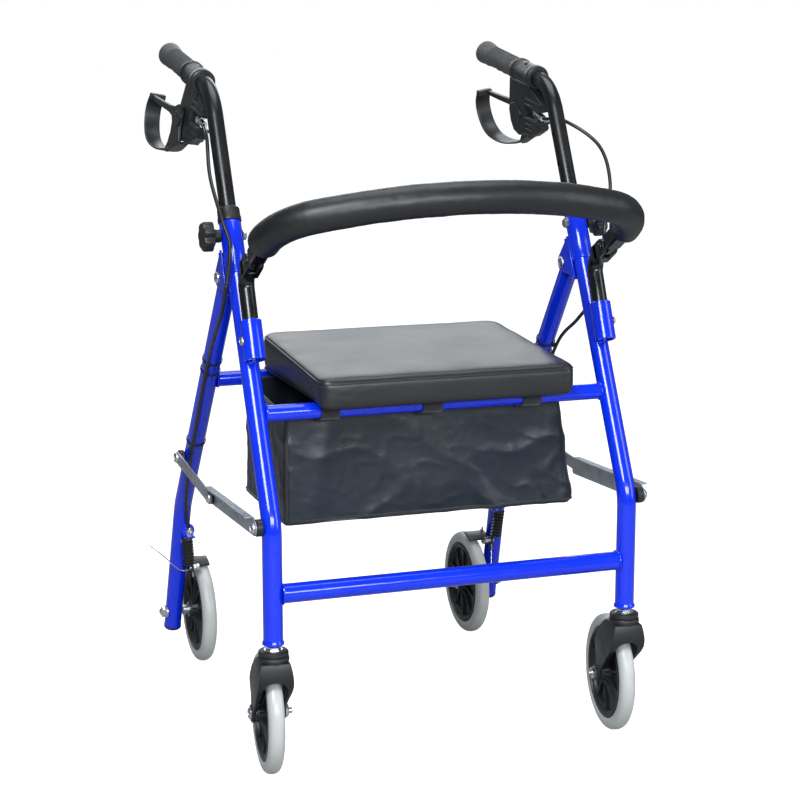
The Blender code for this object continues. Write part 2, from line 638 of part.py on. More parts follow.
def hoop_points(start):
    """The hoop's centre line from its +X end, starting a little beyond the hinge."""
    flat = [(post_x.x, start), (post_x.x, straight * 0.8)]
    for i in range(7):
        angle = sweep * i / 6
        flat.append((post_x.x - small_r * (1 - math.cos(angle)), straight + small_r * math.sin(angle)))
    x0, t0 = flat[-1]
    rest = math.pi / 2 - sweep
    for i in range(1, 5):
        angle = sweep + rest * i / 4
        flat.append((x0 - big_r * (math.cos(sweep) - math.cos(angle)),
                     t0 + big_r * (math.sin(angle) - math.sin(sweep))))
    flat[-1] = (0.0, flat[-1][1])
    whole = flat + [(-x, t) for x, t in reversed(flat[:-1])]
    base = Vector((0, BACKREST_HINGE.y, BACKREST_HINGE.z))
    return [Vector((x, 0, 0)) + base + forward * t for x, t in whole]


hoop = tube("backrest_hoop", hoop_points(0.016), 0.0095, 12)
tongue = [*arc((0, 0), 0.0106, 90, 270, 8), (0.0200, -0.0092), (0.0200, 0.0092)]
for side in (-1, 1):
    move = Matrix.Translation((side * post_x.x, 0, 0)) @ Matrix.Translation(-post_x) @ KNUCKLE
    join(hoop, plate("tongue", tongue, -0.0042, 0.0042, move))
    cut(hoop, rod("eye", (-0.02, 0, 0), (0.02, 0, 0), 0.0038, 10, move))
finish(hoop, "satin_black", (0, BACKREST_HINGE.y, BACKREST_HINGE.z))

pad = tube("backrest_pad", hoop_points(0.0385), 0.0225, 12)
cut(pad, tube("pad_bore", hoop_points(0.030), 0.0099, 12))
finish(pad, "foam", (0, BACKREST_HINGE.y, BACKREST_HINGE.z))

# --- seat and bag --------------------------------------------------------------------------

board = block("seat_board", (-0.170, 0.024, SEAT_Z), (0.170, 0.303, SEAT_Z + 0.004), 0.001)
for side in (-1, 1):
    low = (side * 0.080 - 0.012, RAIL.y - 0.0145, RAIL.z)
    high = (side * 0.080 + 0.012, RAIL.y + 0.0145, SEAT_Z + 0.002)
    join(board, block("saddle", low, high))
cut(board, rod("rail_bore", RAIL - X_AXIS * 0.2, RAIL + X_AXIS * 0.2, RAIL_R + GAP))
finish(board, "plastic", RAIL)
cushion = block("seat_cushion", (-0.173, 0.020, SEAT_Z + 0.0043), (0.173, 0.307, 0.5360), 0.011, 3)
finish(cushion, "vinyl", RAIL)

bag = block("storage_bag", (-0.183, 0.090, 0.318), (0.183, 0.288, 0.450))
for vertex in bag.data.vertices:
    if vertex.co.z < 0.4:
        vertex.co.x *= 0.203 / 0.183
        vertex.co.y = 0.085 if vertex.co.y < 0.2 else 0.292
rounding = bag.modifiers.new("rounding", "BEVEL")
rounding.width = 0.012
rounding.segments = 3
bake(bag)
for start, end in ((-0.162, -0.137), (-0.024, 0.004), (0.117, 0.1435)):
    join(
        bag,
        rod("loop", (start, RAIL.y, RAIL.z), (end, RAIL.y, RAIL.z), 0.0128, 20),
        plate("strap", [(0.0585, 0.4640), (0.0785, 0.4660), (0.1180, 0.4460), (0.1100, 0.4380),
                        (0.0900, 0.4420)], start, end),
    )
cut(bag, rod("rail_bore", RAIL - X_AXIS * 0.2, RAIL + X_AXIS * 0.2, RAIL_R + GAP, 20))
finish(bag, "nylon", (0, 0.19, 0.385))

# --- folding braces ------------------------------------------------------------------------


def link_frame(start, end):
    """Axes with y along the link and z across it, from its first pivot."""
    span = end - start
    along = span.normalized()
    across = Vector((0, -along.z, along.y))
    turn = Matrix(((1, 0, 0, 0), (0, along.y, across.y, 0), (0, along.z, across.z, 0), (0, 0, 0, 1)))
    return Matrix.Translation(start) @ turn, span.length


place, reach = link_frame(BRACE_FRONT, BRACE_MID)
web = [*arc((0, 0), 0.0100, 100, 260, 6), (reach + 0.012, -0.0100), (reach + 0.012, 0.0126), (0.0, 0.0126)]
brace_front = plate("brace_front_a", web, 0.2664, 0.2688, place)
join(
    brace_front,
    plate("flange", [(0.004, 0.0116), (reach + 0.0117, 0.0116), (reach + 0.0117, 0.0138), (0.004, 0.0138)],
          0.2672, 0.2780, place),
    rod("spacer", (0.2580, 0, 0), (0.2670, 0, 0), 0.0110, 16, place),
    rod("head", (0.2680, 0, 0), (0.2735, 0, 0), 0.0070, 12, place),
    rod("washer", (0.2680, reach, 0), (0.2715, reach, 0), 0.0080, 12, place),
    rod("pin", (0.2700, reach, 0), (0.2775, reach, 0), 0.0040, 12, place),
    rod("mid_head", (0.2745, reach, 0), (0.2785, reach, 0), 0.0075, 12, place),
)
both(brace_front, "steel", (0.2676, *BRACE_FRONT.yz))

place, reach = link_frame(BRACE_MID, BRACE_REAR)
strip = [*arc((0, 0), 0.0088, 90, 270, 8), *arc((reach, 0), 0.0088, -90, 90, 8)]
brace_rear = plate("brace_rear_a", strip, 0.2718, 0.2742, place)
join(brace_rear, rod("head", (0.2730, reach, 0), (0.2785, reach, 0), 0.0075, 12, place))
cut(brace_rear, rod("eye", (0.26, 0, 0), (0.28, 0, 0), 0.0043, 12, place))
both(brace_rear, "steel", (0.2730, *BRACE_MID.yz))

# --- the walker's own middle, which every part hangs from ------------------------------------

middle = bpy.data.objects.new("walker_middle", None)
middle.location = (0, -MIDDLE_Y, 0)
for obj in list(PARTS.objects):
    obj.parent = middle
PARTS.objects.link(middle)
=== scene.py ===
"""The look of the rollator walker: detailed pieces, cloth, materials, studio and camera."""

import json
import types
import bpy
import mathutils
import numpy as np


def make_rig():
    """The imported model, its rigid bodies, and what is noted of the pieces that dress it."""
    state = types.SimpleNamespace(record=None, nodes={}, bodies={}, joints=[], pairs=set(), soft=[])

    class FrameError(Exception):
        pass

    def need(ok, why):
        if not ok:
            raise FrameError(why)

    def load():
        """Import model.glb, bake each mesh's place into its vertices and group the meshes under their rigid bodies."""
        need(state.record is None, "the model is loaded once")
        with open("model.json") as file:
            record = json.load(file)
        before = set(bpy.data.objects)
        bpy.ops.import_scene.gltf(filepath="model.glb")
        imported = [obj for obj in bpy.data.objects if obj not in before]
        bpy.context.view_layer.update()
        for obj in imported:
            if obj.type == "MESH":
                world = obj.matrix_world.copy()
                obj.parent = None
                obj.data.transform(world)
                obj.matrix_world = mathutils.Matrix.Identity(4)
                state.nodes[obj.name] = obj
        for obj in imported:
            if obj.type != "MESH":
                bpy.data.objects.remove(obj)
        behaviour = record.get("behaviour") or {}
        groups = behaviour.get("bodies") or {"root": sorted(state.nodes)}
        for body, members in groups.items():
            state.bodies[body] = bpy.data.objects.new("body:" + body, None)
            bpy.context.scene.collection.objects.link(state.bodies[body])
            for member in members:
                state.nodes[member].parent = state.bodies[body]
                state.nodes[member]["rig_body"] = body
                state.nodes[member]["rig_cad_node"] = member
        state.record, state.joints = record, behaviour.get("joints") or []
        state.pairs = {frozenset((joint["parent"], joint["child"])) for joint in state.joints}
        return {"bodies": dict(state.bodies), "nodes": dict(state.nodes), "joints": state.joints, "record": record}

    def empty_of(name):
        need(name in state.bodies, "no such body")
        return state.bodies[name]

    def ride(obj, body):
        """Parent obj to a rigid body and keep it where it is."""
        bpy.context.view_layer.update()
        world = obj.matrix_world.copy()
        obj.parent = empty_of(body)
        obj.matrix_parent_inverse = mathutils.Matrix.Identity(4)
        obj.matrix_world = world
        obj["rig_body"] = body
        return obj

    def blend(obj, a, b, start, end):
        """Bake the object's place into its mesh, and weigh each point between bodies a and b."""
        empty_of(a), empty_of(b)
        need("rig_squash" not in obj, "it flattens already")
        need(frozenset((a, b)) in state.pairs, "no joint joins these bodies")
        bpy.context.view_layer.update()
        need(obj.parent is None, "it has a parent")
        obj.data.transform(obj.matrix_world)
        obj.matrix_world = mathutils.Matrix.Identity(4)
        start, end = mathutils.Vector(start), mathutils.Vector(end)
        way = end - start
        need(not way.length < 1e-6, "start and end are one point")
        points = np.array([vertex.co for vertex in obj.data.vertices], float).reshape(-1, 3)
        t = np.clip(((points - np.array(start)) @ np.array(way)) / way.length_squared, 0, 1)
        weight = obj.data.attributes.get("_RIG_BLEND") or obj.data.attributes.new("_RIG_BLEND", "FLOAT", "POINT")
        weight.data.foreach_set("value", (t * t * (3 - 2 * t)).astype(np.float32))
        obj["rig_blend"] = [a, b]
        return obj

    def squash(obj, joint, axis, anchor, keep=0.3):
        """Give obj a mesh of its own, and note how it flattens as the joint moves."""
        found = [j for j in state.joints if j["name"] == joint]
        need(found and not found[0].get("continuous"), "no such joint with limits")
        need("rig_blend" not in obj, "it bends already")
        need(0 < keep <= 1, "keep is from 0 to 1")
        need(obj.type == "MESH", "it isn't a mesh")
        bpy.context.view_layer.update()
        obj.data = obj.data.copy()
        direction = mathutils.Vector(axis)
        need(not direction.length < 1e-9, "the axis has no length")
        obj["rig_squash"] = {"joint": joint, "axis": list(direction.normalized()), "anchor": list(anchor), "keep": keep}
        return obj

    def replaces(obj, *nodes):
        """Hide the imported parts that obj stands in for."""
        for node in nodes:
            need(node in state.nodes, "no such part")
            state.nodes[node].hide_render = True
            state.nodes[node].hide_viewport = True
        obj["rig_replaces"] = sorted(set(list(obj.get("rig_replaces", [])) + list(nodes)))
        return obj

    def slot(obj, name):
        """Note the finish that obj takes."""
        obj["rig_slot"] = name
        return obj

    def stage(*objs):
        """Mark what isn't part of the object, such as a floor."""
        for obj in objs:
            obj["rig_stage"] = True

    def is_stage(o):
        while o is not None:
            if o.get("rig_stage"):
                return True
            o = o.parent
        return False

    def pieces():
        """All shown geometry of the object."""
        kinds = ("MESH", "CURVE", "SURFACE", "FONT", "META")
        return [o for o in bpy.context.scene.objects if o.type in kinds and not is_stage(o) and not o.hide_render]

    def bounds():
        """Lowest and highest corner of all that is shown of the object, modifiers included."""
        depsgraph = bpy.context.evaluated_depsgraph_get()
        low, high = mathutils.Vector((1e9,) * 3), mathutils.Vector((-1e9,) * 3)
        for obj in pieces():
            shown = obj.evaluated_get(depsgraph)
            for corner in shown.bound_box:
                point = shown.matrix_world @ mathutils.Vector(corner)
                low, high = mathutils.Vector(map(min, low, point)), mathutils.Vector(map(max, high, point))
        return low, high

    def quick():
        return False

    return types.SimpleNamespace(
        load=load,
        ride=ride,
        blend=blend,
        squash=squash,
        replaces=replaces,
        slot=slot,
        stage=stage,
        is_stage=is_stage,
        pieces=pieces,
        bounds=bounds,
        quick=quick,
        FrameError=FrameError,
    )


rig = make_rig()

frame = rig.load()
CAD_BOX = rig.bounds()

import json
import math

import bmesh
import bpy
from mathutils import Matrix, Vector, noise
from mathutils.bvhtree import BVHTree

# --- dimensions, in metres ---------------------------------------------------------------------
# Everything is drawn with y = 0 at the front legs and MIDDLE is taken off at the end, as in the solids.
# Pieces are drawn on the +X side, where names end in _a, and mirrored to make their _b twins.
MIDDLE = Vector((0, 0.2526, 0))
ENDS = (("a", 1), ("b", -1))
HALF_TRACK = 0.245
LEG_R = 0.0127
LEG_END_Z = 0.1885
BEND_Z = 0.344
LEAN = 0.518
COLLAR_Z = 0.7048
COLLAR_TOP_Z = 0.722
SLEEVE_R = 0.0145
RAIL = Vector((0.0, 0.0665, 0.4727))
RAIL_R = 0.0107
LOWER_BAR = Vector((0.0, 0.0, 0.2536))
LOWER_BAR_R = 0.0125
BRACKET_INNER_X = (0.2298, 0.2326)
BRACKET_OUTER_X = (0.2592, 0.2618)
TUBE_R = 0.011
HEIGHT_BOLT_Z = 0.6886
HOLE_PITCH_Z = 0.0388
RIVET = Vector((0.0, 0.193, 0.6325))
REAR_BEND = Vector((0.2525, 0.468, 0.26))
REAR_END = Vector((0.259, 0.531, 0.053))
REAR_BAR = Vector((0.0, 0.309, 0.475))
REAR_BAR_R = 0.0105
WELD_PROUD = 0.0014
WHEEL_R = 0.08
REAR_AXLE = Vector((0.219, 0.5215, WHEEL_R))
TRAIL = 0.05
FORK_HALF_GAP = 0.0172
AXLE_R = 0.0042
CASTER_TURN = math.radians(-5.5)
GRIP_START = Vector((0.245, 0.319, 0.8807))
GRIP_SLOPE = math.radians(9.2)
BRAKE_TILT = math.radians(10.0)
LEVER_PIVOT = (0.0644, -0.0588)
CABLE_R = 0.0025
WIRE_R = 0.0008
BACKREST_HINGE = Vector((0.245, 0.0748, 0.6668))
BACKREST_RISE = math.radians(30.2)
POST_R = 0.0105
HOOP_R = 0.0095
PAD_R = 0.0208
PAD_START = 0.0565
HOOP_STRAIGHT = 0.0577
HOOP_CORNER_R = 0.08
HOOP_CORNER = math.radians(66.5)
SEAT_Z = 0.4862
BRACE_FRONT = Vector((0.0, 0.0, 0.342))
BRACE_MID = Vector((0.0, 0.213, 0.331))
BRACE_REAR = Vector((0.0, 0.405, 0.345))
FRONT_LINK_X = (0.2664, 0.2688)
REAR_STRIP_X = (0.2718, 0.2742)
BRAKE_PIVOT = Vector((0.0, 0.494, 0.153))
X_AXIS = Vector((1, 0, 0))
Z_AXIS = Vector((0, 0, 1))
LEG_U = Vector((0, LEAN, 1)).normalized()
BACK_N = Vector((0, LEG_U.z, -LEG_U.y))
IDENTITY = Matrix.Identity(4)
MIRROR = Matrix.Diagonal((-1, 1, 1, 1))


def leg_point(z, x=HALF_TRACK):
    return Vector((x, LEAN * (z - BEND_Z), z))


def rear_x(z):
    if z > REAR_BEND.z:
        return REAR_BEND.x - (z - REAR_BEND.z) * 0.018
    return REAR_BEND.x + (REAR_BEND.z - z) * (REAR_END.x - REAR_BEND.x) / (REAR_BEND.z - REAR_END.z)


def rear_point(z):
    return Vector((rear_x(z), 0.2176 + 0.736 * (0.6 - z), z))


# --- materials ---------------------------------------------------------------------------------


class Look:
    """A Principled material whose colour, roughness and relief come from procedural textures."""

    def __init__(self, name, colour, rough, metal=0.0, coat=0.0, sheen=0.0):
        self.mat = bpy.data.materials.new(name)
        self.mat.use_nodes = True
        self.tree = self.mat.node_tree
        self.shader = self.tree.nodes["Principled BSDF"]
        self.colour = colour
        self.shader.inputs["Base Color"].default_value = (*colour, 1)
        self.shader.inputs["Roughness"].default_value = rough
        self.shader.inputs["Metallic"].default_value = metal
        self.shader.inputs["Coat Weight"].default_value = coat
        self.shader.inputs["Coat Roughness"].default_value = 0.08
        self.shader.inputs["Sheen Weight"].default_value = sheen
        self.place = self.node("ShaderNodeTexCoord").outputs["Object"]
        self.normal = None

    def node(self, kind, **settings):
        node = self.tree.nodes.new(kind)
        for key, value in settings.items():
            setattr(node, key, value)
        return node

    def link(self, a, b):
        self.tree.links.new(a, b)

    def texture(self, kind, scale, detail=2.0, stretch=None):
        """The output of a texture in the piece's own space."""
        place = self.place
        if stretch:
            mapping = self.node("ShaderNodeMapping")
            mapping.inputs["Scale"].default_value = stretch
            self.link(place, mapping.inputs["Vector"])
            place = mapping.outputs["Vector"]
        if kind == "noise":
            tex = self.node("ShaderNodeTexNoise")
            tex.inputs["Detail"].default_value = detail
            out = tex.outputs[0]
        elif kind == "cells":
            tex = self.node("ShaderNodeTexVoronoi")
            out = tex.outputs["Distance"]
        else:
            tex = self.node("ShaderNodeTexWave")
            tex.bands_direction = kind
            tex.inputs["Distortion"].default_value = 0.4
            out = tex.outputs["Fac"]
        tex.inputs["Scale"].default_value = scale
        self.link(place, tex.inputs["Vector"])
        return out

    def bump(self, height, strength, distance):
        node = self.node("ShaderNodeBump")
        node.inputs["Strength"].default_value = strength
        node.inputs["Distance"].default_value = distance
        self.link(height, node.inputs["Height"])
        if self.normal:
            self.link(self.normal, node.inputs["Normal"])
        self.normal = node.outputs["Normal"]
        self.link(self.normal, self.shader.inputs["Normal"])
        return self

    def relief(self, kind, scale, strength, distance, detail=2.0, stretch=None):
        return self.bump(self.texture(kind, scale, detail, stretch), strength, distance)

    def mottle(self, scale, other, low=0.35, high=0.7, detail=4.0):
        """Drifts the colour towards another one."""
        ramp = self.node("ShaderNodeMapRange")
        ramp.inputs["From Min"].default_value = low
        ramp.inputs["From Max"].default_value = high
        self.link(self.texture("noise", scale, detail), ramp.inputs["Value"])
        mix = self.node("ShaderNodeMix", data_type="RGBA")
        mix.inputs[6].default_value = (*self.colour, 1)
        mix.inputs[7].default_value = (*other, 1)
        self.link(ramp.outputs["Result"], mix.inputs[0])
        self.link(mix.outputs[2], self.shader.inputs["Base Color"])
        return self

    def gloss(self, scale, low, high, detail=3.0):
        """Varies the roughness between two values."""
        ramp = self.node("ShaderNodeMapRange")
        ramp.inputs["From Min"].default_value = 0.3
        ramp.inputs["From Max"].default_value = 0.7
        ramp.inputs["To Min"].default_value = low
        ramp.inputs["To Max"].default_value = high
        self.link(self.texture("noise", scale, detail), ramp.inputs["Value"])
        self.link(ramp.outputs["Result"], self.shader.inputs["Roughness"])
        return self


BLUE = Look("blue_powder_coat", (0.001, 0.026, 0.66), 0.18, coat=0.25)
BLUE.mottle(9, (0.001, 0.02, 0.58)).gloss(30, 0.12, 0.2).relief("noise", 420, 0.03, 0.0002, 3)
SATIN = Look("satin_black_tube", (0.004, 0.004, 0.005), 0.28, coat=0.1)
SATIN.gloss(25, 0.24, 0.36).relief("noise", 500, 0.08, 0.0003)
PLASTIC = Look("moulded_black", (0.008, 0.008, 0.009), 0.36)
PLASTIC.mottle(14, (0.013, 0.013, 0.014)).gloss(40, 0.36, 0.52).relief("cells", 1400, 0.12, 0.0002)
GLOSSY = Look("glossy_black", (0.004, 0.004, 0.005), 0.2, coat=0.1)
GLOSSY.gloss(30, 0.15, 0.28).relief("noise", 300, 0.05, 0.0003)
GRIP = Look("soft_grip", (0.055, 0.055, 0.057), 0.5)
GRIP.mottle(20, (0.075, 0.075, 0.077)).relief("cells", 1100, 0.25, 0.0003).relief("noise", 60, 0.1, 0.0006)
FOAM = Look("closed_cell_foam", (0.005, 0.0055, 0.006), 0.42)
FOAM.mottle(12, (0.008, 0.0085, 0.0095)).gloss(18, 0.38, 0.46).relief("noise", 900, 0.2, 0.0003, 4)
FOAM.relief("noise", 45, 0.12, 0.001)
VINYL = Look("black_vinyl", (0.012, 0.012, 0.014), 0.36)
VINYL.mottle(8, (0.015, 0.015, 0.018)).gloss(14, 0.34, 0.4)
VINYL.relief("cells", 900, 0.22, 0.0003).relief("noise", 26, 0.04, 0.0015, 3)
NYLON = Look("navy_nylon", (0.004, 0.008, 0.014), 0.4, sheen=0.03)
NYLON.mottle(16, (0.008, 0.013, 0.022)).relief("X", 260, 0.1, 0.0003).relief("Z", 260, 0.1, 0.0003)
NYLON.relief("noise", 30, 0.3, 0.003, 4)
WEBBING = Look("black_webbing", (0.012, 0.012, 0.014), 0.75, sheen=0.2)
WEBBING.relief("X", 190, 0.6, 0.0005).relief("noise", 300, 0.3, 0.0004)
TYRE = Look("grey_tyre_rubber", (0.5, 0.5, 0.49), 0.36)
TYRE.mottle(18, (0.42, 0.42, 0.41)).gloss(30, 0.28, 0.46).relief("noise", 350, 0.12, 0.0004)
ZINC = Look("bright_zinc", (0.62, 0.62, 0.64), 0.26, metal=1.0)
ZINC.gloss(120, 0.18, 0.36).relief("noise", 500, 0.08, 0.0003)
CHROME = Look("chrome", (0.8, 0.8, 0.82), 0.1, metal=1.0)
CHROME.gloss(60, 0.06, 0.16)
GOLD = Look("yellow_zinc", (0.62, 0.52, 0.3), 0.3, metal=1.0)
GOLD.mottle(300, (0.55, 0.56, 0.5)).gloss(120, 0.2, 0.4)
BRACE = Look("plain_steel", (0.36, 0.38, 0.42), 0.34, metal=0.85)
BRACE.mottle(30, (0.3, 0.32, 0.36)).gloss(60, 0.28, 0.48).relief("noise", 260, 0.12, 0.0004, 3, (1, 0.1, 1))
SHEATH = Look("black_sheath", (0.01, 0.01, 0.01), 0.35)
SHEATH.gloss(50, 0.28, 0.45).relief("noise", 400, 0.1, 0.0003)
THREAD = Look("stitch_thread", (0.05, 0.05, 0.055), 0.8)
THREAD.relief("noise", 1500, 0.4, 0.0003)

# --- shape tools -------------------------------------------------------------------------------

SLOTS = {
    "blue_powder_coat": "blue_paint", "satin_black_tube": "black_tube", "moulded_black": "black_plastic",
    "glossy_black": "black_tube", "soft_grip": "grip_rubber", "closed_cell_foam": "foam_pad",
    "black_vinyl": "seat_vinyl", "navy_nylon": "bag_nylon", "black_webbing": "bag_nylon",
    "grey_tyre_rubber": "grey_tyre", "bright_zinc": "zinc_steel", "chrome": "zinc_steel",
    "yellow_zinc": "zinc_steel", "plain_steel": "brace_steel", "black_sheath": "cable_sheath",
    "stitch_thread": "seat_vinyl",
}


def added(name, data):
    obj = bpy.data.objects.new(name, data)
    bpy.context.scene.collection.objects.link(obj)
    return obj


def clamped(value):
    return max(0.0, min(1.0, value))


def power(value, exponent):
    """A power that keeps the sign: below 1 it squares a circle off."""
    return math.copysign(abs(value) ** exponent, value)


def on_side(p, sign):
    """The point itself for sign 1, its mirror image for -1."""
    return Vector((sign * p[0], p[1], p[2]))


def framed(origin, along, across):
    """A place whose y runs along one direction and whose z runs across it, both square to X."""
    return Matrix.Translation(origin) @ Matrix((
        (1, 0, 0, 0), (0, along.y, across.y, 0), (0, along.z, across.z, 0), (0, 0, 0, 1)))


def solid(name, shape, look, smooth=40):
    """Makes an object from a bmesh, faces outwards, smooth but for its sharp edges."""
    bmesh.ops.recalc_face_normals(shape, faces=shape.faces)
    mesh = bpy.data.meshes.new(name)
    shape.to_mesh(mesh)
    shape.free()
    mesh.materials.append(look.mat)
    mesh.shade_smooth()
    mesh.set_sharp_from_angle(angle=math.radians(smooth))
    return added(name, mesh)


def loft(name, rings, look, closed=False, capped=True, smooth=40):
    """A skin over rings of points."""
    shape = bmesh.new()
    rows = [[shape.verts.new(p) for p in ring] for ring in rings]
    count = len(rows[0])
    pairs = list(zip(rows, rows[1:]))
    if closed:
        pairs.append((rows[-1], rows[0]))
    for a, b in pairs:
        for i in range(count):
            j = (i + 1) % count
            shape.faces.new((a[i], a[j], b[j], b[i]))
    if capped and not closed:
        shape.faces.new(rows[0][::-1])
        shape.faces.new(rows[-1])
    return solid(name, shape, look, smooth)


def bent_path(corners, radius, steps=8):
    """The corners joined by straight lines, with each inner corner rounded."""
    points = [Vector(corners[0])]
    for before, corner, after in zip(corners, corners[1:], corners[2:]):
        corner = Vector(corner)
        a = (Vector(before) - corner).normalized()
        b = (Vector(after) - corner).normalized()
        half = a.angle(b) / 2
        reach = radius / math.tan(half)
        centre = corner + (a + b).normalized() * (radius / math.sin(half))
        first = corner + a * reach - centre
        last = corner + b * reach - centre
        sweep = first.angle(last)
        for i in range(steps + 1):
            t = i / steps
            mix = first * math.sin((1 - t) * sweep) + last * math.sin(t * sweep)
            points.append(centre + mix / math.sin(sweep))
    points.append(Vector(corners[-1]))
    return points


def flowing(points, pieces=12):
    """A smooth line through the points."""
    points = [Vector(p) for p in points]
    ends = [points[0] * 2 - points[1], *points, points[-1] * 2 - points[-2]]
    line = []
    for a, b, c, d in zip(ends, ends[1:], ends[2:], ends[3:]):
        for k in range(pieces):
            t = k / pieces
            line.append((2 * b + (c - a) * t + (2 * a - 5 * b + 4 * c - d) * t * t
                         + (3 * b - a - 3 * c + d) * t ** 3) / 2)
    line.append(points[-1])
    return line


def distances(points):
    """How far along a path each of its points is."""
    lengths = [0.0]
    for a, b in zip(points, points[1:]):
        lengths.append(lengths[-1] + (b - a).length)
    return lengths


def ahead_at(points, i):
    return points[min(i + 1, len(points) - 1)] - points[max(i - 1, 0)]


def frames_along(points, up=X_AXIS):
    """Each point of a path with two directions square to the path there."""
    side = up
    if abs((points[1] - points[0]).normalized().dot(up)) > 0.99:
        side = Z_AXIS
    frames = []
    for i, spot in enumerate(points):
        ahead = ahead_at(points, i).normalized()
        side = (side - ahead * side.dot(ahead)).normalized()
        frames.append((spot, side, ahead.cross(side)))
    return frames


def circle(radius, sides):
    return [(radius * math.cos(2 * math.pi * k / sides), radius * math.sin(2 * math.pi * k / sides))
            for k in range(sides)]


def tube(name, points, radius, look, sides=32, smooth=40):
    """A round bar along the points, with slightly rounded ends."""
    points = [Vector(p) for p in points]
    ease = min(0.0008, radius * 0.3)
    first = (points[1] - points[0]).normalized() * ease
    last = (points[-2] - points[-1]).normalized() * ease
    path = [points[0], points[0] + first, *points[1:-1], points[-1] + last, points[-1]]
    radii = [radius - ease, *[radius] * (len(path) - 2), radius - ease]
    rings = [[spot + side * u + other * v for u, v in circle(r, sides)]
             for r, (spot, side, other) in zip(radii, frames_along(path))]
    return loft(name, rings, look, smooth=smooth)


def revolve(name, profile, origin, axis, look, steps=40, loop=False, smooth=35):
    """A turned shape from (radius, height) pairs."""
    turn = Z_AXIS.rotation_difference(Vector(axis)).to_matrix()
    origin = Vector(origin)
    shape = bmesh.new()
    rows = []
    for r, h in profile:
        if r < 1e-6:
            rows.append([shape.verts.new(origin + turn @ Vector((0, 0, h)))] * steps)
            continue
        rows.append([shape.verts.new(origin + turn @ Vector((r * u, r * v, h))) for u, v in circle(1, steps)])
    pairs = list(zip(rows, rows[1:]))
    if loop:
        pairs.append((rows[-1], rows[0]))
    for a, b in pairs:
        for i in range(steps):
            j = (i + 1) % steps
            corners = []
            for v in (a[i], a[j], b[j], b[i]):
                if v not in corners:
                    corners.append(v)
            if len(corners) > 2:
                shape.faces.new(corners)
    return solid(name, shape, look, smooth)


def rod(name, start, end, radius, look, steps=32, ease=0.0006):
    start = Vector(start)
    span = Vector(end) - start
    h = span.length
    ease = min(ease, radius * 0.4, h * 0.3)
    shape = [(0, h), (radius - ease, h), (radius, h - ease), (radius, ease), (radius - ease, 0), (0, 0)]
    return revolve(name, shape, start, span, look, steps)


def soften(obj, width, segments=2, angle=35):
    """Rounds the sharp edges."""
    return modified(obj, "BEVEL", width=width, segments=segments, limit_method="ANGLE",
                    angle_limit=math.radians(angle), harden_normals=False)


def applied(obj):
    bpy.context.view_layer.update()
    graph = bpy.context.evaluated_depsgraph_get()
    mesh = bpy.data.meshes.new_from_object(obj.evaluated_get(graph))
    obj.modifiers.clear()
    obj.data = mesh
    return obj


def modified(obj, kind, **settings):
    """Adds one modifier and applies it."""
    step = obj.modifiers.new("step", kind)
    for key, value in settings.items():
        setattr(step, key, value)
    return applied(obj)


def slab(name, outline, low, high, look, matrix=IDENTITY, round_off=0.0008, segments=2):
    """A sheet with a (y, z) outline, filling x from low to high, with rounded edges."""
    shape = bmesh.new()
    back = [shape.verts.new(matrix @ Vector((low, y, z))) for y, z in outline]
    front = [shape.verts.new(matrix @ Vector((high, y, z))) for y, z in outline]
    shape.faces.new(back[::-1])
    shape.faces.new(front)
    for i in range(len(outline)):
        j = (i + 1) % len(outline)
        shape.faces.new((back[i], back[j], front[j], front[i]))
    obj = solid(name, shape, look)
    if round_off:
        soften(obj, round_off, segments, 50)
    return obj


def block(name, low, high, look, matrix=IDENTITY, round_off=0.0008):
    outline = [(low[1], low[2]), (high[1], low[2]), (high[1], high[2]), (low[1], high[2])]
    return slab(name, outline, low[0], high[0], look, matrix, round_off)


def arc(centre, radius, start, end, steps=12):
    turn = [math.radians(start + (end - start) * i / steps) for i in range(steps + 1)]
    return [(centre[0] + radius * math.cos(t), centre[1] + radius * math.sin(t)) for t in turn]


def boolean(obj, other, how="DIFFERENCE"):
    modified(obj, "BOOLEAN", operation=how, object=other, solver="EXACT")
    mesh = other.data
    bpy.data.objects.remove(other)
    bpy.data.meshes.remove(mesh)
    obj.data.set_sharp_from_angle(angle=math.radians(35))
    return obj


def twin(obj, name):
    """A mirrored copy on the -X side."""
    mesh = obj.data.copy()
    mesh.name = name
    mesh.transform(MIRROR)
    mesh.flip_normals()
    return added(name, mesh)


def settle(obj):
    """Moves a finished piece from the front legs' plane, where it was drawn, to the walker's own frame."""
    obj.data.transform(Matrix.Translation(-MIDDLE))
    return obj


def ride(obj, body, *nodes):
    """Puts a finished piece on a body, standing for the CAD nodes named."""
    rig.ride(settle(obj), body)
    tag(obj, *nodes)
    return obj


def tag(obj, *nodes):
    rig.slot(obj, SLOTS[obj.data.materials[0].name])
    if nodes:
        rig.replaces(obj, *nodes)


def pair(obj, body, *nodes):
    """Mirrors a piece that is named ..._a, and puts both on their bodies.

    A body or a CAD node whose name ends in _ gets the side's letter.
    """
    stem = obj.name[:-2]
    other = twin(obj, stem + "_b")
    for piece, end in ((obj, "a"), (other, "b")):
        home = body if not body.endswith("_") else body + end
        ride(piece, home, *[n + end for n in nodes])


def placed(pieces, place, body):
    """Moves pieces, each with the CAD nodes it stands for, to their place and puts them on a body."""
    for obj, nodes in pieces:
        obj.data.transform(place)
        ride(obj, body, *nodes)


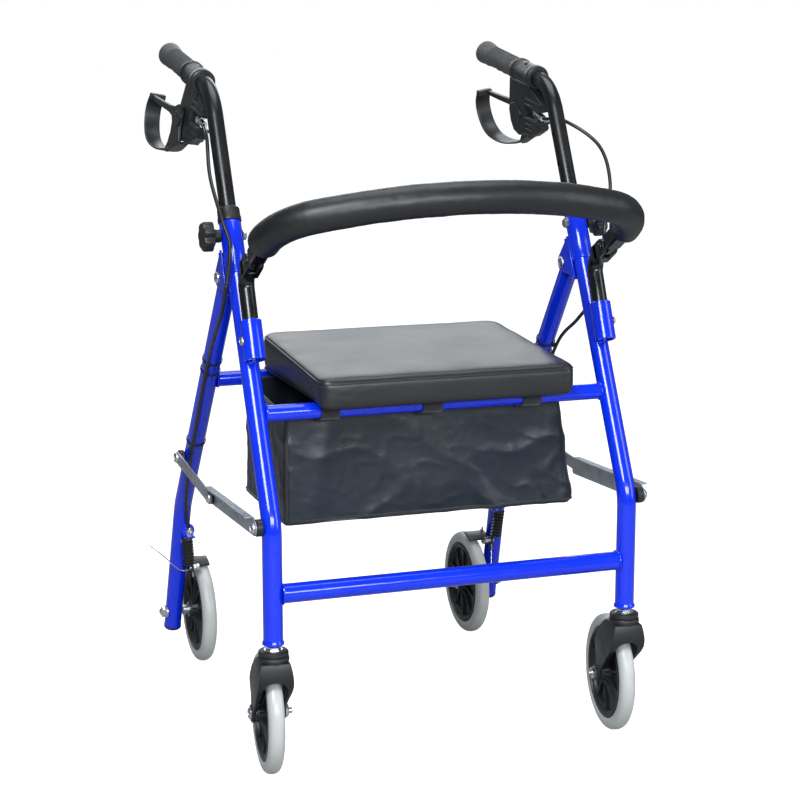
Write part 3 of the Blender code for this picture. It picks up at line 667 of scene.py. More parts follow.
def head(name, centre, axis, radius, thick, look, hexed=False, recess=0.5):
    """A bolt head: a domed button, or a hexagon with a washer face."""
    if hexed:
        shape = [(0, thick), (radius * 0.86, thick), (radius, thick * 0.8), (radius, 0), (0, 0)]
        return revolve(name, shape, centre, axis, look, 6, smooth=20)
    shape = [(0, thick * recess), (radius * 0.36, thick * recess), (radius * 0.42, thick),
             (radius * 0.66, thick * 0.95), (radius * 0.9, thick * 0.62), (radius, thick * 0.25),
             (radius, 0), (0, 0)]
    return revolve(name, shape, centre, axis, look, 28)


def bead(name, centre, axis, radius, thick, look, seed):
    """A lumpy weld bead round a joint."""
    turn = Z_AXIS.rotation_difference(Vector(axis)).to_matrix()
    rings = []
    for k in range(48):
        t = 2 * math.pi * k / 48
        out = turn @ Vector((math.cos(t), math.sin(t), 0))
        fat = thick * (1 + 0.22 * math.sin(t * 22 + seed) + 0.15 * math.sin(t * 5 + seed * 2))
        rings.append([Vector(centre) + out * (radius + fat * u) + turn @ Vector((0, 0, fat * v))
                      for u, v in circle(1, 8)])
    return loft(name, rings, look, closed=True)


def at_x(foot, x):
    """The point of a crosswise axis that is x from the walker's middle."""
    return foot + X_AXIS * x


# --- front frame -------------------------------------------------------------------------------

leg_top = leg_point(COLLAR_Z - 0.0004)
leg_path = bent_path([(HALF_TRACK, 0, LEG_END_Z), (HALF_TRACK, 0, BEND_Z), leg_top], 0.075, 16)
pair(tube("front_leg_a", leg_path, LEG_R, BLUE, 40), "front_frame", "front_leg_")
sleeve_low = leg_point(0.64)
sleeve_len = (leg_top - sleeve_low).length
sleeve = [(0.0128, sleeve_len), (0.0141, sleeve_len), (SLEEVE_R, sleeve_len - 0.0006),
          (SLEEVE_R, 0.0015), (0.0138, 0), (0.0126, 0)]
pair(revolve("leg_sleeve_a", sleeve, sleeve_low, LEG_U, BLUE, 44, loop=True), "front_frame")
flare = [(0.0125, 0.1962), (0.0129, 0.1938), (0.0138, 0.1918), (0.0143, 0.1902), (0.0141, 0.1888),
         (0.0133, 0.1882), (0.0072, 0.1882), (0.0072, 0.1962)]
pair(revolve("leg_flare_a", flare, (HALF_TRACK, 0, 0), Z_AXIS, BLUE, 44, loop=True), "front_frame")

socket_low = Vector((HALF_TRACK - 0.0012, 0.0727, 0.541))
socket_high = Vector((HALF_TRACK - 0.0012, 0.0936, 0.589))
socket_u = (socket_high - socket_low).normalized()
socket_len = (socket_high - socket_low).length
socket = [(0.011, socket_len), (0.0132, socket_len), (0.014, socket_len - 0.0008), (0.014, 0.0008),
          (0.0132, 0), (0.011, 0)]
pair(revolve("backrest_socket_a", socket, socket_low, socket_u, BLUE, 44, loop=True), "front_frame")
LEG_SHARE = 0.34  # the beads sit nearer to the socket, clear of the handle tube inside the leg
for k, z in enumerate((0.549, 0.56, 0.571, 0.582)):
    in_socket = socket_low + socket_u * ((z - socket_low.z) / socket_u.z)
    spot = leg_point(z) * LEG_SHARE + in_socket * (1 - LEG_SHARE)
    pair(bead(f"socket_weld_{k}_a", spot, X_AXIS, 0.0028, 0.0026, BLUE, k), "front_frame")
pair(head("socket_bolt_a", (0.2575, 0.0832, 0.565), X_AXIS, 0.0058, 0.0036, GOLD), "front_frame")


def crossbar(name, middle, reach, radius, sides, body):
    """A bar from side to side."""
    ride(tube(name, [at_x(middle, -reach), at_x(middle, reach)], radius, BLUE, sides), body, name)


crossbar("front_lower_crossbar", LOWER_BAR, 0.2335, LOWER_BAR_R, 40, "front_frame")
crossbar("front_seat_rail", RAIL, 0.234, RAIL_R, 36, "front_frame")
pair(bead("lower_bar_weld_a", at_x(LOWER_BAR, 0.2325), X_AXIS, LOWER_BAR_R + 0.0003, WELD_PROUD, BLUE, 1),
     "front_frame")
pair(bead("rail_weld_a", at_x(RAIL, 0.2325), X_AXIS, RAIL_R + 0.0003, WELD_PROUD, BLUE, 2), "front_frame")

rivet_b = (RIVET - leg_point(RIVET.z, 0)).dot(BACK_N)
rivet_foot = RIVET - BACK_N * rivet_b
BRACKET_LOW = -0.034  # the bracket's ends, along the leg from the rivet
BRACKET_HIGH = 0.026


def bracket_point(along, behind):
    spot = rivet_foot + LEG_U * along + BACK_N * behind
    return (spot.y, spot.z)


def bracket_outline(front):
    rounded = []
    for i in range(17):
        angle = math.radians(-62 + 7.8 * i)
        rounded.append(bracket_point(0.0125 * math.sin(angle), rivet_b + 0.0125 * math.cos(angle)))
    return [bracket_point(BRACKET_LOW, front), *rounded, bracket_point(BRACKET_HIGH, front)]


def bracket_cheek(label, span, *nodes):
    pair(slab(f"bracket_{label}_a", bracket_outline(0.006), *span, BLUE), "front_frame", *nodes)


bracket_cheek("outer", BRACKET_OUTER_X, "hinge_bracket_")
bracket_cheek("inner", BRACKET_INNER_X)
web_outline = [bracket_point(*p) for p in ((BRACKET_LOW, 0.0145), (BRACKET_HIGH, 0.0145),
                                           (BRACKET_HIGH, 0.0174), (BRACKET_LOW, 0.0174))]
pair(slab("bracket_web_a", web_outline, 0.23, 0.2616, BLUE), "front_frame")
for label, x in (("outer", 0.2604), ("inner", 0.2312)):
    rings = []
    for i in range(25):
        along = BRACKET_LOW + (BRACKET_HIGH - BRACKET_LOW) * i / 24
        fat = 0.0014 * (1 + 0.3 * math.sin(i * 1.9))
        spot = Vector((x, *bracket_point(along, 0.0085)))
        rings.append([spot + X_AXIS * u * fat + BACK_N * v * fat * 1.4 for u, v in circle(1, 8)])
    pair(loft(f"bracket_weld_{label}_a", rings, BLUE), "front_frame")

foot = Vector((HALF_TRACK, 0, BEND_Z))
low_s = (COLLAR_Z - BEND_Z) / LEG_U.z
high_s = (COLLAR_TOP_Z - BEND_Z) / LEG_U.z
collar = [(0.0112, high_s), (0.0132, high_s), (0.0148, high_s - 0.0018), (0.015, low_s + 0.0075),
          (0.0156, low_s + 0.006), (0.0156, low_s + 0.0006), (0.015, low_s), (0.0112, low_s)]
pair(revolve("leg_collar_a", collar, foot, LEG_U, PLASTIC, 44, loop=True), "front_frame", "leg_collar_")

bolt_y = leg_point(HEIGHT_BOLT_Z).y
bolt_spot = Vector((0, bolt_y, HEIGHT_BOLT_Z))
pair(head("height_bolt_a", at_x(bolt_spot, 0.2304), -X_AXIS, 0.0066, 0.0046, ZINC, True), "front_frame",
     "height_bolt_")


def axle_rod(name, foot, start, end, radius, look, body, *nodes):
    """A rod or washer on a crosswise axis."""
    pair(rod(name, at_x(foot, start), at_x(foot, end), radius, look), body, *nodes)


axle_rod("height_bolt_washer_a", bolt_spot, 0.2312, 0.2298, 0.0078, ZINC, "front_frame")
axle_rod("height_bolt_shank_a", bolt_spot, 0.257, 0.2598, 0.003, ZINC, "front_frame")


def star_ring(x, size, depth):
    points = []
    for i in range(84):
        angle = 2 * math.pi * i / 84
        r = size * (1 - depth * (0.5 - 0.5 * math.cos(7 * angle)) ** 1.6)
        points.append(Vector((x, bolt_y + r * math.cos(angle), HEIGHT_BOLT_Z + r * math.sin(angle))))
    return points


knob_rings = [star_ring(x, size, depth) for x, size, depth in (
    (0.2665, 0.009, 0.0), (0.269, 0.01, 0.02), (0.2702, 0.017, 0.17), (0.271, 0.0192, 0.2),
    (0.273, 0.0199, 0.21), (0.2822, 0.0199, 0.21), (0.2845, 0.019, 0.2), (0.2858, 0.0168, 0.16),
    (0.2862, 0.013, 0.05), (0.285, 0.011, 0.0), (0.285, 0.006, 0.0))]
pair(loft("height_knob_a", knob_rings, PLASTIC), "height_knob_", "height_knob_")
axle_rod("height_knob_boss_a", bolt_spot, 0.26, 0.2685, 0.0086, PLASTIC, "height_knob_")

# --- rear frame --------------------------------------------------------------------------------

rear_u = (rear_point(0.3) - rear_point(0.6)).normalized()
rear_top = rear_point(RIVET.z) - rear_u * 0.0115
rear_leg = tube("rear_leg_a", bent_path([rear_top, REAR_BEND, REAR_END], 0.07, 16), LEG_R, BLUE, 40)
pair(rear_leg, "rear_frame", "rear_leg_")
low_u = (REAR_END - REAR_BEND).normalized()
plug = [(0, 0.003), (0.0095, 0.003), (0.0124, 0.0018), (0.0131, 0.0002), (0.0131, -0.0022), (0, -0.0022)]
pair(revolve("rear_leg_plug_a", plug, REAR_END - low_u * 0.0012, low_u, PLASTIC), "rear_frame")
crossbar("rear_crossbar", REAR_BAR, 0.2365, REAR_BAR_R, 36, "rear_frame")
pair(bead("rear_bar_weld_a", at_x(REAR_BAR, 0.2358), X_AXIS, REAR_BAR_R + 0.0003, WELD_PROUD, BLUE, 3),
     "rear_frame")

tab = [(0.456, 0.2088), (0.479, 0.2088), (0.479, 0.224), (0.4755, 0.224), (0.474, 0.2125),
       (0.456, 0.2115)]
pair(slab("cable_tab_a", tab, 0.2375, 0.2545, BLUE), "rear_frame")
pair(slab("cable_tab_cheek_a", [(0.4575, 0.1985), (0.48, 0.194), (0.48, 0.22), (0.4575, 0.211)],
          0.2512, 0.254, BLUE), "rear_frame")
pair(head("cable_tab_bolt_a", (0.254, 0.467, 0.204), X_AXIS, 0.0042, 0.003, ZINC, True), "rear_frame")
disc = [(0, 0.0016), (0.0088, 0.0016), (0.01, 0.0006), (0.01, -0.0012), (0, -0.0012)]
pair(revolve("cable_tab_plate_a", disc, (0.247, 0.464, 0.22), (0, -1, 0.1), BLUE, 36), "rear_frame")
pair(head("cable_tab_screw_a", (0.245, 0.4622, 0.219), (0, -1, 0.1), 0.0056, 0.0046, ZINC), "rear_frame")
pair(rod("cable_tab_stop_a", (0.2462, 0.4635, 0.2225), (0.245, 0.465, 0.206), 0.0042, ZINC), "rear_frame")
pair(head("cable_tab_nut_a", (0.2458, 0.464, 0.212), (-0.07, -0.08, 1), 0.0058, 0.004, ZINC, True),
     "rear_frame")

pair(head("hinge_pin_a", at_x(RIVET, 0.2619), X_AXIS, 0.0078, 0.0034, ZINC, recess=0.8), "rear_frame",
     "hinge_pin_")
pair(head("hinge_pin_inner_a", at_x(RIVET, 0.2296), -X_AXIS, 0.0078, 0.0032, ZINC, recess=0.8), "rear_frame")


def brace_spacer(name, foot, low, high, body, *nodes):
    """A bushing that keeps a brace off its leg."""
    shape = [(0.004, high), (0.01, high), (0.011, high - 0.0009), (0.011, low + 0.0012), (0.01, low),
             (0.004, low)]
    pair(revolve(name, shape, foot, X_AXIS, PLASTIC, loop=True), body, *nodes)


brace_spacer("brace_spacer_a", BRACE_REAR, 0.2638, 0.2715, "rear_frame", "brace_spacer_")

axle_foot = Vector((0, *REAR_AXLE.yz))
axle = [(0, 0.245), (0.0078, 0.245), (0.0078, 0.236), (AXLE_R, 0.2358), (AXLE_R, 0.202),
        (AXLE_R, 0.198), (0, 0.198)]
pair(revolve("rear_axle_a", axle, axle_foot, X_AXIS, ZINC), "rear_frame", "rear_axle_")
pair(head("rear_axle_head_a", at_x(axle_foot, 0.2008), -X_AXIS, 0.0082, 0.0062, ZINC, True), "rear_frame")
axle_rod("rear_axle_washer_a", axle_foot, 0.2018, 0.2004, 0.01, ZINC, "rear_frame")
axle_rod("rear_axle_seat_a", axle_foot, 0.268, 0.2722, 0.0098, ZINC, "rear_frame")
pair(head("rear_axle_nut_a", at_x(axle_foot, 0.2722), X_AXIS, 0.0086, 0.0052, ZINC, True), "rear_frame")
dome = [(0, 0.004), (0.0028, 0.0036), (0.0048, 0.0018), (0.0054, 0), (0, 0)]
pair(revolve("rear_axle_dome_a", dome, at_x(axle_foot, 0.2768), X_AXIS, ZINC, 20), "rear_frame")

# --- wheels ------------------------------------------------------------------------------------

RIBS = 10


def wheel(kind, end, spot, turn, body):
    """A grey tyre on a black ribbed hub."""
    place = Matrix.Translation(spot) @ Matrix.Rotation(turn, 4, "Z")
    tread = []
    for i in range(25):
        t = math.pi * i / 24
        wide = 0.0107 * power(math.cos(t), 0.85)
        tall = 0.068 + 0.012 * math.sin(t) ** 0.8
        tread.append((tall, wide))
    tread = [(0.0638, 0.0092), (0.0658, 0.0103), *tread, (0.0658, -0.0103), (0.0638, -0.0092)]
    tyre, hub = f"{kind}_tyre_{end}", f"{kind}_hub_{end}"
    made = [(revolve(tyre, tread, (0, 0, 0), X_AXIS, TYRE, 96, loop=True), [tyre])]
    half = [(0.0046, 0.0164), (0.011, 0.0164), (0.0122, 0.0155), (0.0128, 0.006), (0.015, 0.003),
            (0.053, 0.0022), (0.0545, 0.004), (0.0552, 0.0075), (0.0575, 0.0082), (0.0582, 0.0104),
            (0.0625, 0.0102), (0.0638, 0.0092)]
    lower = [(r, -h) for r, h in reversed(half)]
    made.append((revolve(hub, half + lower, (0, 0, 0), X_AXIS, PLASTIC, 72, loop=True), [hub]))
    for k in range(RIBS):
        spin = Matrix.Rotation(2 * math.pi * k / RIBS, 4, "X")
        rings = []
        for reach, tall in ((0.0115, 0.0135), (0.02, 0.0085), (0.048, 0.0062), (0.056, 0.0078)):
            edge = [(tall, 0.0008), (tall - 0.0004, 0.0012), (-tall + 0.0004, 0.0012), (-tall, 0.0008)]
            edge += [(-x, -y) for x, y in edge]
            rings.append([spin @ Vector((x, y, reach)) for x, y in edge])
        made.append((loft(f"{kind}_rib_{k}_{end}", rings, PLASTIC), []))
    for label, sign in (("out", 1), ("in", -1)):
        shape = [(0.0043, 0.0006), (0.0062, 0.0006), (0.0068, 0), (0.0092, 0), (0.0098, 0.0006),
                 (0.0104, 0.0006), (0.0104, -0.002), (0.0043, -0.002)]
        bearing = revolve(f"{kind}_bearing_{label}_{end}", shape, X_AXIS * sign * 0.0162, X_AXIS * sign,
                          ZINC, 32, loop=True)
        made.append((bearing, []))
    placed(made, place, body)


for end, sign in ENDS:
    wheel("rear", end, Vector((sign * REAR_AXLE.x, *REAR_AXLE.yz)), 0.0, f"rear_wheel_{end}")

# --- rear brakes -------------------------------------------------------------------------------

axle_yz = tuple(REAR_AXLE.yz)
shoe = arc(axle_yz, 0.087, 115, 98, 20) + arc(axle_yz, 0.0836, 98, 115, 20)
pair(slab("brake_shoe_a", shoe, 0.2095, 0.24, SHEATH, round_off=0.0006), "brake_arm_")
arm = [(0.4655, 0.1545), (0.4665, 0.164), (0.472, 0.1655), (0.489, 0.16), (0.5, 0.165),
       (0.515, 0.166), (0.515, 0.162), (0.506, 0.156), (0.501, 0.149), (0.494, 0.1462),
       (0.485, 0.149), (0.476, 0.149)]
pair(slab("brake_arm_a", arm, 0.2383, 0.2425, SHEATH), "brake_arm_", "brake_arm_")
flag = [(0.495, 0.162), (0.508, 0.164), (0.501, 0.1745)]
pair(slab("brake_arm_flag_a", flag, 0.236, 0.2384, ZINC), "brake_arm_")
pair(head("brake_pivot_a", (0.2383, *BRAKE_PIVOT.yz), -X_AXIS, 0.0058, 0.0042, ZINC, True), "brake_arm_")
pair(rod("brake_pinch_a", (0.244, 0.4712, 0.16), (0.233, 0.4712, 0.16), 0.0046, ZINC), "brake_arm_")
pair(head("brake_pinch_head_a", (0.233, 0.4712, 0.16), -X_AXIS, 0.0052, 0.0038, ZINC, True), "brake_arm_")
pair(rod("brake_end_knob_a", (0.24, 0.4705, 0.154), (0.2398, 0.468, 0.1455), 0.0036, GLOSSY),
     "brake_arm_")
spring_low = Vector((0.2455, 0.466, 0.166))
spring_high = Vector((0.2495, 0.46, 0.2105))
spring_len = (spring_high - spring_low).length
FOLDS = 9
folds = [(0, spring_len), (0.0058, spring_len)]
for i in range(FOLDS):
    top = spring_len - i * spring_len / FOLDS
    step = spring_len / FOLDS
    folds += [(0.0064, top - 0.1 * step), (0.0086, top - 0.38 * step), (0.0086, top - 0.62 * step),
              (0.0064, top - 0.9 * step)]
folds += [(0.0058, 0), (0, 0)]
bellows = revolve("brake_spring_a", folds, spring_low, spring_high - spring_low, SHEATH, 28)
for piece, (end, sign) in zip((bellows, twin(bellows, "brake_spring_b")), ENDS):
    ride(piece, "rear_frame", f"brake_spring_{end}")
    top = on_side(spring_high, sign) - MIDDLE
    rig.squash(piece, f"brake_arm_{end}", axis=(0, -0.16, 0.98), anchor=tuple(top), keep=0.94)
for end, sign, corners in (
    ("a", 1, [(0.2398, 0.47, 0.158), (0.238, 0.464, 0.132), (0.233, 0.456, 0.102),
              (0.227, 0.45, 0.093)]),
    ("b", -1, [(0.2398, 0.47, 0.158), (0.26, 0.464, 0.16), (0.286, 0.464, 0.185),
               (0.306, 0.468, 0.202)])):
    path = flowing([on_side(p, sign) for p in corners])
    ride(tube(f"loose_wire_{end}", path, WIRE_R, ZINC, 10), f"brake_arm_{end}")

# --- casters -----------------------------------------------------------------------------------

side_outline = [(-0.019, 0.1668), (-0.0205, 0.16), (-0.0216, 0.152), (-0.0212, 0.144),
                (-0.017, 0.135), (-0.006, 0.124), (0.012, 0.109), (0.027, 0.095),
                (0.0368, 0.084), *arc((TRAIL, WHEEL_R), 0.0125, 195, 365, 18), (0.0618, 0.096),
                (0.057, 0.116), (0.048, 0.134), (0.038, 0.15), (0.027, 0.161), (0.019, 0.1668)]
front_half = [(0.0188, 0.1668), (0.0205, 0.16), (0.0222, 0.15), (0.0232, 0.138), (0.0234, 0.128),
              (0.0226, 0.115), (0.0216, 0.105), (0.0212, 0.095), (0.0212, 0.05)]
front_outline = front_half + [(-x, z) for x, z in reversed(front_half)]
quarter = Matrix.Rotation(math.radians(-90), 4, "Z")
fork = slab("caster_fork", side_outline, -0.03, 0.03, PLASTIC, round_off=0)
boolean(fork, slab("front", front_outline, -0.05, 0.09, PLASTIC, quarter, 0), "INTERSECT")
half_space = [(0, -FORK_HALF_GAP), (0.072, -FORK_HALF_GAP), (0.08, -0.0145), (0.0848, -0.0085)]
clearance = [*half_space, (0.086, 0), *[(r, -h) for r, h in reversed(half_space)]]
boolean(fork, revolve("wheel_space", clearance, (0, TRAIL, WHEEL_R), X_AXIS, PLASTIC, 72))
below = block("below", (-FORK_HALF_GAP, -0.06, 0.0), (FORK_HALF_GAP, 0.14, WHEEL_R), PLASTIC, round_off=0)
boolean(fork, below)
ARCH_R = 0.0165
crown = [(-x, z) for x, z in reversed(arc((0, 0.127), ARCH_R, 0, 180, 20))]
arch = [(ARCH_R, 0.02), *crown, (-ARCH_R, 0.02)]
boolean(fork, slab("arch", arch, -0.06, 0.05, PLASTIC, quarter, 0))
soften(fork, 0.0016, 3, 30)
fork.data.set_sharp_from_angle(angle=math.radians(50))
cap = [(0, 0.1812), (0.016, 0.1812), (0.0182, 0.1806), (0.0194, 0.1792), (0.0196, 0.176),
       (0.0188, 0.1748), (0.018, 0.1745), (0.018, 0.1736), (0.0196, 0.1732), (0.0203, 0.1722),
       (0.0203, 0.168), (0.0197, 0.1668), (0.0188, 0.164), (0, 0.164)]


def caster(end, sign):
    """A fork with its stem, axle and wheel, turned as in the photograph."""
    place = Matrix.Translation((sign * HALF_TRACK, 0, 0)) @ Matrix.Rotation(CASTER_TURN, 4, "Z")
    axle = Vector((0, TRAIL, WHEEL_R))
    outer = X_AXIS * sign
    hood = added(f"caster_fork_{end}", fork.data.copy())
    top = Vector((0, 0, 0))
    stem = [(0, 0.236), (0.0055, 0.236), (0.006, 0.2355), (0.006, 0.181), (0, 0.181)]
    ring = [(0.005, 0.0022), (0.0104, 0.0022), (0.0116, 0.001), (0.0118, -0.0016), (0.005, -0.0016)]
    made = [
        (hood, [f"caster_fork_{end}"]),
        (revolve(f"caster_cap_{end}", cap, top, Z_AXIS, PLASTIC, 56), []),
        (revolve(f"caster_stem_{end}", stem, top, Z_AXIS, CHROME, 28), [f"caster_stem_{end}"]),
        (head(f"caster_nut_{end}", (0, 0, 0.1818), Z_AXIS, 0.01, 0.005, CHROME, True), []),
        (rod(f"caster_stem_washer_{end}", (0, 0, 0.1808), (0, 0, 0.1822), 0.0125, CHROME), []),
        (rod(f"caster_axle_{end}", at_x(axle, -0.0212), at_x(axle, 0.0212), AXLE_R, ZINC),
         [f"caster_axle_{end}"]),
        (head(f"caster_bolt_{end}", axle + outer * 0.0212, outer, 0.0086, 0.0048, ZINC), []),
        (head(f"caster_locknut_{end}", axle - outer * 0.0212, -outer, 0.009, 0.0062, ZINC, True), []),
        (rod(f"caster_bolt_end_{end}", axle - outer * 0.027, axle - outer * 0.0325, 0.004, ZINC), [])]
    for side in (-1, 1):
        spot = at_x(axle, side * 0.0205)
        boss = revolve(f"caster_boss_{side + 1}_{end}", ring, spot, X_AXIS * side, PLASTIC, 36, loop=True)
        made.append((boss, []))
    placed(made, place, f"caster_{end}")
    wheel("caster", end, place @ axle, CASTER_TURN, f"caster_wheel_{end}")


for end, sign in ENDS:
    caster(end, sign)
bpy.data.objects.remove(fork)

# --- handles -----------------------------------------------------------------------------------

grip_dir = Vector((0, math.cos(GRIP_SLOPE), math.sin(GRIP_SLOPE)))
grip_up = Vector((0, -math.sin(GRIP_SLOPE), math.cos(GRIP_SLOPE)))
HANDLE = framed(GRIP_START, grip_dir, grip_up)
BRAKE = HANDLE @ Matrix.Rotation(-BRAKE_TILT, 4, "Y")
tube_path = bent_path([leg_point(0.6015), leg_point(0.8737), GRIP_START + grip_dir * 0.198], 0.08, 18)
handle_tube = tube("handle_tube_a", tube_path, TUBE_R, SATIN, 40)
for k in range(-1, 4):
    spot = leg_point(HEIGHT_BOLT_Z + k * HOLE_PITCH_Z)
    boolean(handle_tube, rod("cutter", at_x(spot, -0.02), at_x(spot, 0.02), 0.0036, SATIN, 24, 0.0))
pair(handle_tube, "handle_", "handle_tube_")


def grip_section(t, sides=48):
    """The grip's outline across its length, from the clamp (0) to the palm end (1)."""
    ridges = 0.0
    if 0.1 < t < 0.8:
        ridges = 0.0016 * (0.5 + 0.5 * math.cos(2 * math.pi * (t - 0.14) / 0.165))
    flare = max(0.0, (t - 0.62) / 0.38)
    flare = flare * flare * (3 - 2 * flare)
    points = []
    for k in range(sides):
        a = 2 * math.pi * k / sides
        u, v = math.cos(a), math.sin(a)
        under = max(0.0, -v)
        r = 0.0136 + ridges * under ** 1.5 + 0.0006 * max(0.0, math.sin(math.pi * min(t / 0.7, 1)))
        wide = r * (1 + 0.24 * flare)
        tall = r * (1 + (0.34 if v > 0 else 0.26) * flare)
        points.append((wide * u, tall * v))
    return points


grip_rings = []
for i in range(61):
    t = i / 60
    y = 0.0712 + 0.1385 * t
    round_end = 1.0
    if t > 0.955:
        q = (t - 0.955) / 0.045
        round_end = 1 - 0.16 * q * q
    if t < 0.02:
        round_end = 0.95 + 2.5 * t
    ring = []
    for u, v in grip_section(t):
        slant = 0.0035 * (v / 0.02) * max(0.0, (t - 0.8) / 0.2)
        ring.append(HANDLE @ Vector((u * round_end, y - slant, v * round_end)))
    grip_rings.append(ring)
pair(loft("hand_grip_a", grip_rings, GRIP, smooth=60), "handle_", "hand_grip_")
for k in range(16):
    y = 0.085 + k * 0.0058
    ring = [(0.013, 0.0007), (0.01445, 0.0007), (0.0147, 0), (0.01445, -0.0007), (0.013, -0.0007)]
    spot = HANDLE @ Vector((0, y, 0.0004))
    pair(revolve(f"grip_rib_{k}_a", ring, spot, grip_dir, GRIP, 32, loop=True), "handle_")

clamp = [(0.0113, 0.0705), (0.0154, 0.0705), (0.0168, 0.0695), (0.0173, 0.068), (0.0173, 0.0625),
         (0.0166, 0.0608), (0.0157, 0.0598), (0.0157, 0.0158), (0.0165, 0.0148), (0.0174, 0.0132),
         (0.0174, 0.003), (0.0168, 0.001), (0.0154, 0.0), (0.0113, 0.0)]
pair(revolve("brake_clamp_a", clamp, GRIP_START, grip_dir, PLASTIC, 56, loop=True), "handle_",
     "brake_housing_")
screw_at = HANDLE @ Vector((-0.004, 0.037, 0.015))
well = [(0.0022, 0.001), (0.0034, 0.001), (0.0042, 0.0), (0.0022, 0.0)]
pair(revolve("clamp_screw_well_a", well, screw_at, grip_up, PLASTIC, 24, loop=True), "handle_")
pair(rod("clamp_screw_a", screw_at - grip_up * 0.002, screw_at + grip_up * 0.0004, 0.0022, SHEATH, 18),
     "handle_")
housing = [(0.006, -0.008), (0.008, -0.026), (0.024, -0.034), (0.028, -0.06), (0.028, -0.086),
           (0.046, -0.092), (0.062, -0.095), (0.08, -0.091), (0.089, -0.078), (0.091, -0.062),
           (0.086, -0.042), (0.08, -0.022), (0.076, -0.008)]
pair(slab("brake_body_a", housing, -0.015, 0.0032, PLASTIC, BRAKE, 0.003, 4), "handle_")
upper_nose = [(0.006, -0.012), (-0.012, -0.02), (-0.035, -0.029), (-0.031, -0.043),
              (0.034, -0.044), (0.034, -0.012)]
lower_nose = [(-0.0225, -0.059), (-0.018, -0.073), (0.009, -0.086), (0.04, -0.094), (0.04, -0.057)]
for label, nose in (("upper", upper_nose), ("lower", lower_nose)):
    pair(slab(f"brake_nose_{label}_a", nose, -0.0135, 0.002, PLASTIC, BRAKE, 0.002, 3), "handle_")
rib_tips = ((-0.0365, -0.029), (-0.033, -0.0375), (-0.024, -0.059), (-0.019, -0.0675),
            (-0.004, -0.076), (0.014, -0.0845))
for k, (nose, z) in enumerate(rib_tips):
    step = [(nose, z), (0.034, z - 0.0005), (0.034, z - 0.005), (nose + 0.003, z - 0.0048)]
    pair(slab(f"brake_rib_{k}_a", step, -0.015, 0.0034, PLASTIC, BRAKE, 0.0009, 2), "handle_")
diamond = [(0.042, -0.0588), (0.049, -0.05), (0.0644, -0.0445), (0.08, -0.05), (0.086, -0.0588),
           (0.08, -0.07), (0.0644, -0.077), (0.049, -0.07)]
pair(slab("brake_boss_inner_a", diamond, -0.0166, -0.0136, PLASTIC, BRAKE, 0.001), "handle_")
barrel = [(0.0024, 0.03), (0.0046, 0.03), (0.0052, 0.029), (0.0052, 0.02), (0.0044, 0.019),
          (0.0036, 0.018), (0.0036, 0.012), (0.0066, 0.0115), (0.0066, 0.007), (0.0036, 0.0065),
          (0.0036, 0.0), (0.0024, 0.0)]
barrel_from = BRAKE @ Vector((-0.0055, 0.009, -0.05))
barrel_dir = BRAKE.to_3x3() @ Vector((0, -0.99, -0.13))
pair(revolve("cable_adjuster_a", barrel, barrel_from, barrel_dir, CHROME, 20, loop=True), "handle_")

lever_arm = [(0.0535, -0.056), (0.0562, -0.051), (0.06, -0.0484), (0.066, -0.0474),
             (0.073, -0.049), (0.09, -0.0525), (0.12, -0.057), (0.1858, -0.062),
             (0.233, -0.065), (0.233, -0.0715), (0.1858, -0.0705), (0.12, -0.0675),
             (0.101, -0.069), (0.093, -0.076), (0.092, -0.09), (0.098, -0.106),
             (0.106, -0.115), (0.1, -0.1205), (0.086, -0.1165), (0.066, -0.107),
             (0.048, -0.0985), (0.042, -0.093), (0.045, -0.086), (0.053, -0.074)]
pair(slab("brake_lever_a", lever_arm, 0.0036, 0.0088, PLASTIC, BRAKE, 0.0014, 3), "brake_lever_",
     "brake_lever_")
loop_corners = [(0.048, -0.095), (0.076, -0.109), (0.105, -0.118), (0.15, -0.127), (0.195, -0.1285),
                (0.223, -0.12), (0.2395, -0.102), (0.242, -0.083), (0.233, -0.067)]
loop_path = flowing([(0, y, z) for y, z in loop_corners], 8)
strip_rings = []
for i, spot in enumerate(loop_path):
    ahead = ahead_at(loop_path, i)
    normal = Vector((0, -ahead.z, ahead.y)).normalized()
    grow = i / (len(loop_path) - 1)
    wide = 0.0085 + 0.0032 * min(1.0, grow * 3)
    ring = []
    for u, v in circle(1, 24):
        ring.append(BRAKE @ (at_x(spot, wide * power(u, 0.35)) + normal * (0.0017 * power(v, 0.6))))
    strip_rings.append(ring)
pair(loft("brake_lever_loop_a", strip_rings, PLASTIC), "brake_lever_")
tee = [(0.225, -0.063), (0.235, -0.063), (0.2365, -0.065), (0.2355, -0.0715), (0.225, -0.0715)]
pair(slab("brake_lever_tee_a", tee, -0.011, 0.011, PLASTIC, BRAKE, 0.001), "brake_lever_")
pair(slab("brake_boss_a", diamond, 0.0086, 0.0112, PLASTIC, BRAKE, 0.001), "brake_lever_")
pivot = BRAKE @ Vector((0.0106, *LEVER_PIVOT))
outward = BRAKE.to_3x3() @ X_AXIS
pair(head("brake_lever_pin_a", pivot, outward, 0.0048, 0.0022, PLASTIC), "brake_lever_")

# --- cables ------------------------------------------------------------------------------------

junction = Vector((0.264, 0.134, 0.63))
cable_start = BRAKE @ Vector((-0.0055, -0.0195, -0.0538))
tied = Vector((0.259, 0.265, 0.508))
uppers = {"a": [(0.266, 0.265, 0.822), (0.299, 0.225, 0.79), (0.296, 0.18, 0.742),
                (0.27, 0.138, 0.69)],
          "b": [(0.256, 0.26, 0.81), (0.266, 0.205, 0.764), (0.264, 0.156, 0.715),
                (0.258, 0.138, 0.68)]}
lower = [junction, (0.266, 0.156, 0.59), (0.264, 0.21, 0.548), tied, (0.259, 0.33, 0.423),
         (0.2585, 0.392, 0.338), (0.254, 0.442, 0.268), (0.2462, 0.4635, 0.2225)]


